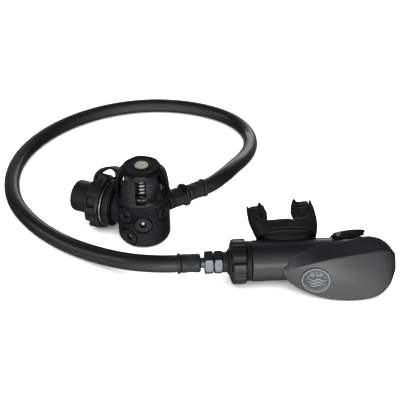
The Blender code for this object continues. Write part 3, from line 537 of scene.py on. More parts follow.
def ferrule(start, sense):
    """Crimped sleeve with eight crimp flats, a groove and a bead at its hose end."""
    profile = rounded([(5, 0), (6.6, 0, 0.8), (FERRULE_R, 1.6, 1.4), (FERRULE_R, 14.6),
                       (7.2, 14.9, 0.1), (7.2, 15.5, 0.1), (FERRULE_R, 15.8), (8.3, 16.3), (8.3, 18.4),
                       (7.1, FERRULE_LENGTH, 0.2), (7.1, 12, 0.1), (5, 12)], 0.5, 4)
    rings = []
    for r, h in rounded_more(profile):
        crimp = 0
        if 3 < h < 13 and r > 7.3:
            crimp = 0.42 * max(0, sin(pi * (h - 3) / 10)) ** 0.6
        ring = []
        for t in turns(MEDIUM):
            reach = r - crimp * abs(cos(4 * t)) ** 0.5
            ring.append((reach * cos(t), reach * sin(t), start + sense * h))
        rings.append(ring)
    return ring_body(rings)


def rounded_more(profile, step=1):
    """The profile with extra points on its long straights."""
    out = [profile[0]]
    for (r0, z0), (r1, z1) in zip(profile, profile[1:]):
        parts = max(1, int(hypot(r1 - r0, z1 - z0) / step))
        out += [(r0 + (r1 - r0) * k / parts, z0 + (z1 - z0) * k / parts) for k in range(1, parts + 1)]
    return out


def hose():
    """Free hose from the first ferrule round to the second one."""
    start = OUTLET @ Vector((0, 0, FIRST_FERRULE + FERRULE_LENGTH - 6))
    end = BARREL @ Vector((0, 0, SECOND_FERRULE - FERRULE_LENGTH + 6))
    out, inward = OUTLET.to_3x3() @ Vector((0, 0, 1)), BARREL.to_3x3() @ Vector((0, 0, 1))
    first, last = start + out * (6.3 + STUB), end - inward * (6.3 + STUB)
    route = smooth_path([first, *HOSE_ROUTE, last], 260, out, inward)
    path = [start, start + out * 4, *route, end - inward * 4, end]
    tube = swept(path, [(HOSE_R * cos(t), HOSE_R * sin(t)) for t in turns(40)])
    made = piece("hose_tube", tube, WORLD, "hose", ("hose",))
    ferrules = [piece("hose_ferrule_first_fine", ferrule(FIRST_FERRULE, 1), OUTLET, "graphite"),
                piece("hose_ferrule_second_fine", ferrule(SECOND_FERRULE, -1), BARREL, "graphite")]


hose()


# ---------------- first stage
def first_stage():
    """Bored body with its two side openings and five plugged ports."""
    body = [(0.5, 0), (16.6, 0), (20.6, 0.5, 2.4), (22.3, 3.2, 2.8), (22.3, 40), (19.5, 40), (19.5, 44.8),
            (17.2, 44.8), (17.2, 42), (9.2, 42), (9.2, 37), (6.2, 37), (6.2, 11), (0.5, 11)]
    boss = turned([(15.6, 9), (15.6, 24.2), (14.4, 24.2)], MEDIUM, radius=0.6)
    tools = [add(boss, DIN), cut(turned([(8.6, 26), (8.6, 13), (3, 13), (3, 5)], COARSE), DIN),
             cut(turned([(6.3, 26), (6.3, 13.5), (2.5, 13.5), (2.5, 5)], COARSE), OUTLET)]
    ports = [radial(a, h) for a, h in ((-42, 31), (2, 24.6), (-33, 10), (57, 31), (172, 29))]
    pocket = turned([(8.55, 26), (8.55, 21.9), (8.05, 21.2), (8.05, 17), (5.1, 17), (5.1, 11.5)], 72,
                    radius=0.12)
    tools += [cut(pocket, port) for port in ports]
    piece("first_stage_body_fine", turned(body, FINE, radius=0.5), WORLD, "body", tools=tools)

    plug = rounded([(4.7, 12), (4.7, 17.3), (7.35, 17.3), (7.35, 21.9, 0.7), (6.2, 22.1, 0.15),
            (6, 21.75, 0.1), (5.5, 21.75, 0.1), (5.3, 22.1, 0.15), (4.2, 22.1, 0.1)], 0.25, 3)
    rings = [circle(r, z, 72) for r, z in plug]
    rings += [hexagon(6, 22, 72), hexagon(5.3, 21.3, 72), hexagon(5, 21.1, 72), hexagon(5, 18.9, 72)]
    # A bright steel disc at the bottom of each hex socket is a painted glint for the specks of light in the
    # sockets; as metal it also reflects the lamps.
    glint_disc = turned([(0.1, 20.2), (1.2, 20.1), (2.2, 19.3), (2.2, 18.95), (0.1, 18.95)], COARSE)
    for i, port in enumerate(ports, 1):
        piece(f"port_plug_{i}_fine", ring_body(rings), port @ spun(17 * i), "bell")
        made = solid(f"port_plug_{i}_seat", glint_disc, port)
        dress(made, "steel", BODY_OF[f"port_plug_{i}"], (), 30)


def bell():
    """Slotted cap over the main spring."""
    outside = [(19.9, 40.3), (23, 40.3, 0.3), (23.4, 41, 0.4), (23.4, 44.2, 0.9), (22.65, 46, 1.6),
               (22.35, 51, 2), (21.9, 55.4, 2), (21, 60.2, 0.5), (20.75, 60.4, 0.1), (20.7, 60.8, 0.1),
               (20.8, 61.1, 0.2), (19.4, 64.8, 2), (17.4, 67.6, 1), (16.4, 68.3, 0.4), (15, 68.5)]
    inside = [(15, 66.6), (12.4, 66.6), (12.4, 63), (16.2, 63), (19.6, 55, 2)]
    half, low, high = 4.7, 45.2, 71
    pane = rounded([(-half + 0.4, low, 0.9), (half - 0.4, low, 0.9), (half, 54, 6), (half + 0.3, high),
                    (-half - 0.3, high), (-half, 54, 6)], 1, 6, loop=True)
    panes = [placed(block(pane, 15.9, 27), radial(60 * i, 0)) for i in range(6)]
    piece("spring_cap_fine", turned(outside + inside, 192, loop=True), WORLD, "bell",
          tools=[cut(joined(panes), WORLD)], sharp=30)


def bell_top():
    """Disc, pale insert and threaded adjuster in the bell's top."""
    profile = rounded([(6, 66.9), (14.7, 66.9), (14.7, 68.9), (15.5, 68.9, 0.3), (15.2, 69.9, 0.7),
            (14.2, 70.45, 0.5), (12.9, 70.35, 0.2), (12.5, 70, 0.2), (8.2, 69.9, 0.2), (7.8, 70.2, 0.2),
            (6.6, 70.3, 0.2), (6, 70.1)], 0.25, 3, loop=True)
    rings = []
    for r, z in profile:
        wave = 0.3 if r > 14 and z > 68.8 else 0
        ring = []
        for t in turns(FINE):
            reach = r + wave * cos(6 * t + 1.57)
            ring.append((reach * cos(t), reach * sin(t), z))
        rings.append(ring)
    piece("cap_top_fine", ring_body(rings, loop=True), WORLD, "matt")
    insert = [(0.3, 67), (5.7, 67), (5.7, 70.2, 0.3), (5.1, 70.7, 0.3), (4.5, 70.75, 0.1),
        (4.3, 70.5, 0.1), (3.2, 70.5, 0.1), (3, 70.7, 0.1), (0.3, 70.8)]
    piece("cap_insert_fine", turned(insert, MEDIUM), WORLD, "insert")
    top, foot = 66.5, 62.8
    screw = [hexagon(6, top), hexagon(6.6, top + 0.1), circle(11.6, top + 0.1), circle(12.1, top - 0.4)]
    thread = []
    for k in range(5):
        z = top - 0.7 - 0.6 * k
        thread += [circle(12.1, z), circle(11.75, z - 0.3)]
    screw += thread + [circle(12, foot), hexagon(6, foot)]
    piece("spring_adjuster_fine", ring_body(screw, loop=True), WORLD, "dark_brass")


def spring_stack():
    """Main spring, its pad and the notched ring round it."""
    piece("main_spring_fine", coil(10.1, 1.5, 47, 62.5, 4.6), WORLD, "dull")
    pad = [(0.4, 43.6), (12, 43.6), (12, 46.7), (8.2, 46.7), (7.6, 49.6, 0.8), (3, 50, 0.8), (0.4, 50)]
    piece("spring_pad_fine", turned(pad), WORLD, "brass")
    clamp = [(16.9, 43.4), (16.9, 46), (16, 47), (13, 47), (12.4, 46.4), (12.4, 43.4)]
    notch = block([(-1, 45.9), (1, 45.9), (1, 48), (-1, 48)], 11, 18)
    notches = [placed(notch, radial(60 * k, 0)) for k in range(6)]
    piece("diaphragm_clamp_fine", turned(clamp, FINE, loop=True), WORLD, "brass",
          tools=[cut(joined(notches), WORLD)])


# ---------------- cylinder connector
def din_connector():
    """Collar, bright ring, lobed hand wheel with its thread, and dust cap."""
    collar = [(8.9, 24.9), (17.4, 24.9, 0.5), (17.4, 31.2, 0.6), (16.6, 31.9, 0.3), (8.9, 31.9)]
    piece("din_collar_fine", turned(collar, FINE, loop=True), DIN, "body")
    ring = [(8.9, 32.2), (19.8, 32.2, 0.1), (20, 32.4, 0.1), (20, 32.8, 0.1), (19.8, 33, 0.1), (8.9, 33)]
    piece("din_ring_fine", turned(ring, 192, loop=True), DIN, "steel")

    n = LOBED

    def grip(r, valley, z):
        return lobed(r, valley, 6, z, n, 0.62, 0.12)

    rings = circles((8.7, 33.3), (21.4, 33.3), (22.4, 33.6), (22.8, 34.3), (22.8, 36.1), (22.5, 36.6),
        n=n)
    rings += [grip(22.8, 18.8, 36.9), grip(23.4, 18.6, 37.3)]
    rings += [grip(23.6, 18.6, 37.9 + 6.4 * k / 6) for k in range(7)]
    rings += [grip(23.3, 18.4, 44.7), grip(22.6, 17.9, 45.1)]
    rings += circles((17.6, 45.6), (17, 46.2), (12.2, 46.25), (11.9, 46.4), n=n)
    pitch = 1.5
    for k in range(8):
        z = 46.9 + pitch * k
        rings += circles((11.9, z), (11.9, z + 0.2), (11.1, z + 0.75), (11.1, z + 0.95), n=n)
    rings += circles((11.7, 58.9), (11, 59.3), (8.7, 59.3), n=n)
    grips = []
    for k in range(6):
        for z in (39, 41.3, 43.6):
            bar = rounded([(23.1, z - 0.4), (24.3, z - 0.4), (24.3, z + 0.4), (23.1, z + 0.4)], 0.2, 2,
                    True)
            grips.append(placed(ring_body([[(x, y, h) for x, h in bar] for y in (-5, 5)]), spun(60 * k)))
    piece("din_wheel_fine", ring_body(rings, loop=True), DIN, "wheel",
          tools=[cut(joined(grips), DIN)])

    cap = [(0.4, 63.2), (12.4, 63.2, 0.4), (12.4, 46.8, 0.2), (14, 46.8, 0.4), (14, 62.9, 1.5),
        (12.9, 64.8, 1.2), (10.2, 64.95, 0.3), (9.9, 64.6, 0.2), (9, 64.6, 0.2), (8.7, 64.9, 0.2),
        (0.4, 64.9)]
    piece("dust_cap_fine", turned(cap, FINE), DIN, "rubber")
    ring = [(14.05, 47.6), (15.3, 47.6, 0.5), (15.6, 49.4, 0.6), (15.3, 51.2, 0.5), (14.05, 51.2)]
    piece("strap_ring_fine", turned(ring, FINE, loop=True), DIN, "rubber")


def strap():
    """Rubber tether with a band round the collar."""
    band = turned([(17.7, 25.6), (19.2, 25.6, 0.6), (19.2, 31.2, 0.6), (17.7, 31.2)], FINE, loop=True,
            radius=0.2)
    route = [(-9.7, 11.4, 49.4), (-11, 14.2, 50.3), (-13.4, 17.6, 49.4), (-15.9, 21.4, 45.4),
        (-15.8, 24.6, 39.6), (-14.6, 26.6, 33), (-12.6, 25.6, 28.8), (-10.6, 20.6, 27.4),
        (-9.2, 16, 28.2)]
    path = smooth_path(route, 70, (-1.2, 2, 0.8), (1, -5, 0))

    def section(i):
        t = i / (len(path) - 1)
        w = 4.3 + 0.6 * exp(-((t - 0.04) / 0.07) ** 2) + 0.5 * exp(-((t - 0.97) / 0.06) ** 2)
        rib, half = 0.3, 1.25
        return rounded([(-w, -half), (w, -half), (w, half), (w - 1.1, half + rib, 0.3),
                (w - 1.8, half, 0.2), (1.8 - w, half, 0.2), (1.1 - w, half + rib, 0.3), (-w, half)], 0.55,
                3, True)

    obj = solid("dust_cap_strap_fine", band, DIN)
    carve(obj, add(swept(path, section, (0.84, 0.54, 0)), DIN))
    paint(obj, "rubber")
    smooth(obj, 38)
    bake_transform(obj)
    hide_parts("dust_cap_strap")


def outlet():
    """Hose fitting with its hexagon and collar."""
    rings = circles((2.6, 14.5), (5.9, 14.5), (5.9, 22.6), (8.1, 22.6), (8.4, 22.9), (8.4, 27.8),
        (8.2, 28.1))
    corners = ((8.2, 28.3), (8.9, 29), (9, 29.3), (9, 36.1), (8.9, 36.4), (8.2, 37))
    rings += [hexagon(15.6, z, MEDIUM, r) for r, z in corners]
    rings += circles((4.4, 37), (4.4, 42.6), (2.6, 42.6))
    piece("lp_fitting_fine", ring_body(rings, loop=True), OUTLET, "graphite")
    collar = [(4.7, 37.4), (8, 37.4, 0.3), (8.2, 38, 0.6), (10.2, 39.2, 0.6), (10.2, 41.8, 0.5),
        (9.4, 42.4, 0.3), (4.7, 42.4)]
    piece("fitting_collar_fine", turned(collar, MEDIUM, loop=True), OUTLET, "ring")


# ---------------- hose end and barrel
ACROSS_FLATS, NUT_TURN = 17, -18        # of both nuts at the hose's end: mm and degrees


def nut(name, start, stop, rear_bore, step=0):
    """Hexagon nut with turned corners; behind step its bore narrows to rear_bore."""
    front_bore = 7
    faces = ((start, 8.2), (start + 0.5, 9.1), (start + 1, 9.7), (stop - 1, 9.7), (stop - 0.5, 9.1),
             (stop, 8.2))
    rings = [circle(rear_bore, start), *(hexagon(ACROSS_FLATS, z, MEDIUM, r) for z, r in faces),
             circle(front_bore, stop)]
    if rear_bore < front_bore:
        rings += [circle(front_bore, step), circle(rear_bore, step)]
    piece(name, ring_body(rings, loop=True), BARREL @ spun(NUT_TURN), "nickel", sharp=25)



def inlet():
    """Hose stem, nuts, grooved adapter, lobed lock ring and seal at the barrel's open end."""
    stem = [(4.2, -6.3), (4.2, -3.9), (4.2, -2.9), (4.2, 0.6), (2.4, 0.6), (2.4, -6.3)]
    piece("hose_stem_fine", turned(stem, COARSE, loop=True, radius=0.1), BARREL, "nickel")
    nut("hose_nut_fine", -3.8, 3.2, 4.6, -1.4)
    nut("lock_nut_fine", 3.8, 10.4, 7)
    neck = [(2.8, 1.2), (6.7, 1.2), (6.7, 10.7), (8.25, 10.7, 0.2)]
    for k in range(3):
        z = 11.2 + 0.9 * k
        neck += [(8.4, z, 0.1), (8.15, z + 0.25, 0.08), (8.15, z + 0.45, 0.08), (8.4, z + 0.7, 0.1)]
    neck += [(9.3, 14.6, 1), (11.2, 15.8, 0.6), (11.6, 16.6, 0.4), (11.6, 19.4), (13.9, 19.4),
        (13.9, 22.4), (5.95, 22.4), (5.95, 20.6), (2.8, 20.6)]
    piece("inlet_adapter_fine", turned(neck, MEDIUM, loop=True, radius=0.2), BARREL, "graphite")

    n = LOBED

    def grip(inset, z):
        return lobed(17.85 - inset, 16.35 - inset, 9, z, n, 0.66, 0.3)

    rings = circles((12, 16.5), (14.2, 16.5), (15, 16.8), n=n)
    rings += [grip(1, 17.6), grip(0.4, 18.1), grip(0.1, 18.7)]
    rings += [grip(0, 19.2 + 1.1 * k) for k in range(8)]
    rings += [grip(0.1, 27.8), grip(0.4, 28.3), grip(1, 28.7)]
    rings += circles((15, 29.2), (14.3, 29.2), (14.3, 19), (12, 19), n=n)
    piece("lock_ring_fine", ring_body(rings, loop=True), BARREL, "ring", sharp=30)
    seal = [(14.4, 29.6), (15.7, 29.6, 0.5), (15.9, 31, 0.5), (15.7, 32.5, 0.5), (14.4, 32.5)]
    piece("seal_ring_fine", turned(seal, FINE, loop=True), BARREL, "rubber")


def barrel():
    """Barrel with the diaphragm bowl, the mouthpiece port, the exhaust port and its end cap."""
    shell = [(0.5, 22.8), (14.1, 22.8), (14.1, 32.4), (15.6, 32.8, 0.5), (16.2, 33.6, 0.6), (16.2, 60),
             (16.2, 90), (16.2, 129.5), (0.5, 129.5)]
    bowl = turned([(18.5, 2.4), (18.5, -2, 1.5), (16.4, -6, 2), (11, -13)], FINE)
    spigot = ring_body([oval(16.9, 9.5, 12), oval(16.1, 8.7, 17), oval(16.1, 8.7, 24)])
    boss = turned([(12.4, 6), (12.4, 14.4, 1.5), (11.4, 15.6, 0.8), (11.4, 18.4), (10, 18.4)], FINE)
    bore = turned([(12.3, 20), (12.3, 34), (13.9, 35), (13.9, 134.5)], FINE)
    above = turned([(18.9, 30), (18.9, 1.5)], FINE)
    well = turned([(16.4, 3), (16.4, 0), (14.4, 0), (14.4, -5), (9, -13.5)], FINE, radius=0.2)
    air = ring_body([oval(13.5, 6.3, h) for h in (6, 27)])
    vent = turned([(7.2, 8), (7.2, 21)], COARSE)
    piece("case_fine", turned(shell, FINE), BARREL, "case", sharp=34, tools=[
        add(bowl, DIAPHRAGM), add(spigot, MOUTH), add(boss, EXHAUST),
        cut(bore, BARREL), cut(above, DIAPHRAGM), cut(well, DIAPHRAGM),
        cut(air, MOUTH), cut(vent, EXHAUST)])
    lid = [(0.5, 128.5), (13.5, 128.5), (13.5, 129.8), (15.7, 129.8, 0.3), (15.4, 130.9, 0.6),
        (12, 131.7, 0.8), (11.6, 131.3, 0.2), (4.6, 131.3, 0.2), (4.2, 131.7, 0.2), (0.5, 131.7)]
    piece("barrel_end_cap_fine", turned(lid, FINE), BARREL, "case")


# ---------------- purge cover
# Lines of the cover at shared stations along u: (v, w) of the bottom skirt's rear edge, the lower front
# edge, the ridge, the top edge and the rear lip of the top edge.
COVER_U = (57, 62, 70, 82, 95, 108, 121, 132, 140, 144.6)
COVER_SKIRT = ((-16.3, -3.6), (-15.6, -9), (-15.6, -12.4), (-17, -15.6), (-18.5, -17.9), (-18.5, -19.1),
               (-18.5, -18.6), (-17, -15.6), (-14.5, -10), (-11.5, -3.6))
COVER_LOWER = ((-17.4, -2.2), (-19.6, -7.4), (-22.8, -12.3), (-27, -15.9), (-29.6, -18.3), (-30.3, -19.6),
               (-30, -19.1), (-28.4, -16.2), (-23.8, -9.8), (-16.4, -2.6))
COVER_RIDGE = ((-17.6, 1.4), (-18.2, 4.6), (-18.6, 7.8), (-18.4, 11.2), (-17.6, 13.6), (-16.2, 14.6),
               (-14.2, 15), (-12, 14.9), (-10.6, 12.4), (-11.6, 6.6))
COVER_TOP = ((-16.6, 3.4), (-13.6, 10.2), (-10.8, 13.5), (-6.8, 16), (-4, 17.4), (-2.6, 18.9),
             (-0.7, 20.1), (-0.2, 18.9), (-3, 14.4), (-7.6, 9.4))
COVER_LIP = ((-16.3, 4.4), (-12.9, 11.1), (-9.8, 14.3), (-5.2, 16.7), (-1.9, 17.7), (0.6, 18.1),
             (2.6, 18.3), (2.8, 16.8), (-0.4, 12.2), (-6.8, 9.2))
COVER_LINES = (COVER_SKIRT, COVER_LOWER, COVER_RIDGE, COVER_TOP, COVER_LIP)
COVER_WALL = 1.8
BADGE_U, BADGE_SHARE, BADGE_R = 80.8, 0.44, 11.3


def line_at(line, u):
    """Point of one cover line at u, by a smooth curve through its stations."""
    last = len(COVER_U) - 1
    i = max(k for k in range(last) if COVER_U[k] <= u or k == 0)
    span = COVER_U[i + 1] - COVER_U[i]
    t = (u - COVER_U[i]) / span

    def slope(k):
        a, b = max(k - 1, 0), min(k + 1, last)
        return (Vector(line[b]) - Vector(line[a])) / (COVER_U[b] - COVER_U[a]) * span

    p, q = Vector(line[i]), Vector(line[i + 1])
    return (p * (2 * t ** 3 - 3 * t ** 2 + 1) + slope(i) * (t ** 3 - 2 * t ** 2 + t)
            + q * (3 * t ** 2 - 2 * t ** 3) + slope(i + 1) * (t ** 3 - t ** 2))


def facet_point(u, share):
    """Point of the front facet: share 0 on its lower edge, 1 on the ridge, slightly crowned."""
    low, high = line_at(COVER_LOWER, u), line_at(COVER_RIDGE, u)
    rise = high - low
    outward = Vector((-rise.y, rise.x)).normalized()
    point = low.lerp(high, share) + outward * 0.04 * rise.length * sin(pi * share)
    return Vector((u, point.x, point.y))


def cover_section(u, thin):
    """Closed outline of the cover's wall at u."""
    skirt, low, high, top, lip = (line_at(line, u) for line in COVER_LINES)
    front = [facet_point(u, k / 8).yz for k in range(1, 8)]
    hump = Vector((-0.1, 0.25)) * min(1, (top - high).length / 8)
    crown = [high.lerp(top, t) + hump * sin(pi * t) for t in (0.25, 0.5, 0.75)]
    outer = [skirt, skirt.lerp(low, 0.5), low, *front, high, *crown, top, top.lerp(lip, 0.5), lip]
    inner = []
    for i, point in enumerate(outer):
        sides = []
        for a, b in ((i - 1, i), (i, i + 1)):
            if a >= 0 and b < len(outer) and (outer[b] - outer[a]).length > 1e-6:
                run = outer[b] - outer[a]
                sides.append(Vector((run.y, -run.x)).normalized())
        normal = sides[0]
        if len(sides) == 2:
            normal = (sides[0] + sides[1]) / max(0.5, 1 + sides[0].dot(sides[1]))
        inner.append(point + normal * COVER_WALL * thin)
    radii = [0.5, 1, 2.4, *[2] * 7, 0.35, *[1] * 3, 0.45, 0.3, 0.3]
    wall = [(*p, r) for p, r in zip(outer, radii)]
    wall += [(*p, 0.3) for p in reversed(inner)]
    return rounded(wall, 0.3, 3, loop=True)


def hood():
    """Faceted purge cover, hollow over the barrel and the diaphragm's bowl."""
    nose, tail = COVER_U[0], COVER_U[-1]
    rings = []
    steps = 80
    for k in range(steps + 1):
        t = k / steps
        u = nose + (tail - nose) * (t - 0.1 * sin(2 * pi * t))
        thin = min(1, (u - nose) / 8 + 0.35, (tail - u) / 6 + 0.45)
        rings.append([Vector((u, v, w)) for v, w in cover_section(u, thin)])
    for at, shift in ((0, -0.35), (-1, 0.35)):
        middle = sum(rings[at], Vector()) / len(rings[at])
        edge = [point.lerp(middle, 0.045) + Vector((shift, 0, 0)) for point in rings[at]]
        rings = [edge, *rings] if at == 0 else [*rings, edge]
    around = turned([(16.55, 50), (17.5, 100), (18, 132.8)], FINE)
    bowl = turned([(19, -8), (19, 4.4)], FINE)
    piece("purge_cover_fine", ring_body(rings), SECOND, "cover", sharp=24, tools=[
        cut(around, BARREL), cut(bowl, DIAPHRAGM)])


def on_cover(x, y, lift):
    """Point over the badge's place: x along the barrel, y up the facet, lift off it."""
    u = BADGE_U + x
    foot, top = line_at(COVER_LOWER, BADGE_U), line_at(COVER_RIDGE, BADGE_U)
    low, high = line_at(COVER_LOWER, u), line_at(COVER_RIDGE, u)
    level = foot.y + (top.y - foot.y) * (BADGE_SHARE + (0.9 * y + 1.4) / (top - foot).length)
    share = (level - low.y) / (high.y - low.y)
    du = facet_point(u + 0.5, share) - facet_point(u - 0.5, share)
    ds = facet_point(u, share + 0.01) - facet_point(u, share - 0.01)
    return facet_point(u, share) + du.cross(ds).normalized() * lift


def band_shape(line, width, low, high):
    """Raised stroke of a varying width along a flat line."""
    left, right = [], []
    for i, p in enumerate(line):
        way = (Vector(line[min(i + 1, len(line) - 1)]) - Vector(line[max(i - 1, 0)])).normalized()
        side = Vector((-way.y, way.x)) * width(i / (len(line) - 1)) / 2
        left.append(tuple(Vector(p) + side))
        right.append(tuple(Vector(p) - side))
    rings = [[on_cover(*a, low), on_cover(*b, low), on_cover(*b, high), on_cover(*a, high)]
             for a, b in zip(left, right)]
    return ring_body(rings)


def badge():
    """Round badge with a plain wave and bubble pattern inside a ring."""
    def round_ring(r, lift):
        return [on_cover(r * cos(t), r * sin(t), lift) for t in turns(MEDIUM)]

    edge = [(0.5, 0.45), (BADGE_R, 0.45), (BADGE_R, 0.85), (BADGE_R - 0.25, 1.05), (BADGE_R - 1.9, 1.05)]
    disc = [round_ring(r, h) for r, h in edge + [(r, 1.05) for r in (8, 5, 2.5, 0.5)]]
    piece("cover_badge", ring_body(disc), SECOND, "badge", ("cover_medallion",))
    low, high = 0.9, 1.22
    hoop = ((9.75, low), (10.75, low), (10.7, high), (9.8, high))
    shapes = [ring_body([round_ring(r, h) for r, h in hoop], True)]
    for k in range(17):
        a = radians(205 + 130 * k / 16)
        way = Vector((cos(a), sin(a)))
        shapes.append(band_shape([tuple(way * r) for r in (7.9, 9)], lambda t: 0.55, low, high))
    for y, reach in ((-4.4, 4.6), (-1.9, 6.6), (0.7, 7.6)):
        line = []
        for k in range(41):
            x = -reach + 2 * reach * k / 40
            line.append((x, y + 0.8 * sin(x * 0.85)))
        shapes.append(band_shape(line, lambda t: 0.3 + 1 * sin(pi * t) ** 0.7, low, high))
    bubbles = ((-3, 5.4, 1.7), (0.9, 4.8, 1), (3.6, 5.6, 1.4), (0.2, 7.4, 0.8), (-6.2, 3.6, 0.8),
               (6.4, 3.4, 0.7))
    for x, y, r in bubbles:
        hoop = ((r * 0.42, low), (r, low), (r, high), (r * 0.42, high))
        shapes.append(ring_body([[on_cover(x + q * cos(t), y + q * sin(t), h) for t in turns(24)]
                                 for q, h in hoop], True))
    made = solid("cover_badge_print", joined(shapes), SECOND)
    dress(made, "print", "purge_cover", (), 35)


# ---------------- second stage trim
def exhaust():
    flap = [(0.4, 18.7), (9.6, 18.7, 0.15), (9.6, 19.2, 0.3), (5, 19.6, 1), (0.4, 20)]
    piece("exhaust_valve_fine", turned(flap), EXHAUST, "silicone")
    cover = [(10.4, 18.8), (11.8, 18.8, 0.3), (11.8, 22.6, 0.8), (10.4, 23.6, 0.8), (2.4, 23.6, 0.3),
        (2.1, 23.2, 0.2), (1.5, 23.2), (1.5, 22.2), (10.4, 22.2)]
    vents = []
    for k in range(6):
        slot = rounded([(3.6, -1.2), (8.6, -1.6), (8.6, 1.6), (3.6, 1.2)], 0.8, 5, True)
        vents.append(placed(block(slot, 21, 25), spun(60 * k)))
    piece("exhaust_cover_fine", turned(cover, FINE, loop=True), EXHAUST, "ring",
          tools=[cut(joined(vents), EXHAUST)])


LEVER_SLOPE = 0.13                      # rise of the dive lever towards its tip


def venturi():
    """Claw-shaped dive lever with grip grooves on its pivot pin, and the seat under it."""
    outline = rounded([(-4.2, -0.6), (-3.4, 2.9), (-0.4, 4.2), (5, 4.6), (11, 4.7), (16.6, 3.9),
            (21.2, 2.6, 0.5), (21.6, 0.4, 0.4), (19.4, -0.2, 0.5), (20.2, -2.6, 0.5), (15, -3.7), (9, -4),
            (3, -4.3), (-1.6, -3.9)], 2, 5, True)
    hub = Vector((102, 6.6, 0))

    def layer(height, shrink):
        return [Vector((hub.x + x * shrink, hub.y + y * shrink, height + LEVER_SLOPE * max(0, x)))
                for x, y in outline]

    layers = ((15.2, 0.86), (15.4, 0.95), (15.9, 1), (17.2, 1), (17.7, 0.95), (17.95, 0.84), (18.05, 0.6))
    leaf = ring_body([layer(height, shrink) for height, shrink in layers])
    at_hub = SECOND @ Matrix.Translation(hub)
    grooves = []
    wire = [(0.5 * cos(t), 0.5 * sin(t)) for t in turns(12)]
    for k in range(4):
        x = 8.6 + 2.5 * k
        path = [Vector((x + 0.035 * y * y, y, 18.1 + LEVER_SLOPE * x)) for y in (-3.6, -1.8, 0, 1.8, 3.6)]
        grooves.append(swept(path, wire))
    piece("venturi_lever_fine", leaf, SECOND, "matt", tools=[
        cut(turned([(1.7, 10), (1.7, 18.05, 0.1), (2.8, 18.05, 0.1), (2.8, 24)], COARSE), at_hub),
        cut(joined(grooves), at_hub)])
    pin = [(0.3, 14.6), (1.3, 14.6), (1.3, 18.4), (2.4, 18.4, 0.2), (2.4, 19, 0.3), (1.7, 19.4, 0.3),
        (0.3, 19.4)]
    slot = block([(-2.6, -0.3), (2.6, -0.3), (2.6, 0.3), (-2.6, 0.3)], 19, 20)
    piece("venturi_pin_fine", turned(pin, COARSE), at_hub, "dull", tools=[cut(slot, at_hub)])
    glint_disc = rounded([(-5, -4.4), (9, -3.9), (9, 4.6), (-5, 4.6)], 2.4, 5, True)
    tiers = ((1.06, 12), (1.04, 14.2), (0.98, 14.8), (0.9, 15.05))
    rings = [[(x * grow, y * grow, z) for x, y in glint_disc] for grow, z in tiers]
    made = solid("lever_seat", ring_body(rings), at_hub)
    carve(made, cut(turned([(15.9, 80), (15.9, 125)], MEDIUM), BARREL))
    dress(made, "case", "second_stage", (), 30)


LEAN, ROLL = 0.15, -0.075               # the mouthpiece's push sideways and its turn, per mm
LEAN_FROM, LEAN_OVER = 24.6, 12


def leaning(shape):
    """The shape, pushed sideways in step with its height over the port, one side a little low."""
    verts, faces = shape
    out = []
    for x, y, z in verts:
        rise = max(0, z - LEAN_FROM)
        out.append((x + LEAN * rise, y, z + ROLL * x * min(1, rise / LEAN_OVER)))
    return out, faces


def footed(a, b):
    """Oval that follows the barrel's round, a little above it."""
    over_barrel = 16.5
    return [(x, y, sqrt(over_barrel ** 2 - y * y)) for x, y, _ in oval(a, b, 0)]


def rim(a, b, z, lift):
    """Oval whose two ends alone rise, by lift."""
    return oval(a, b, z, bend=lift * (25 / a) ** 6, steep=6)


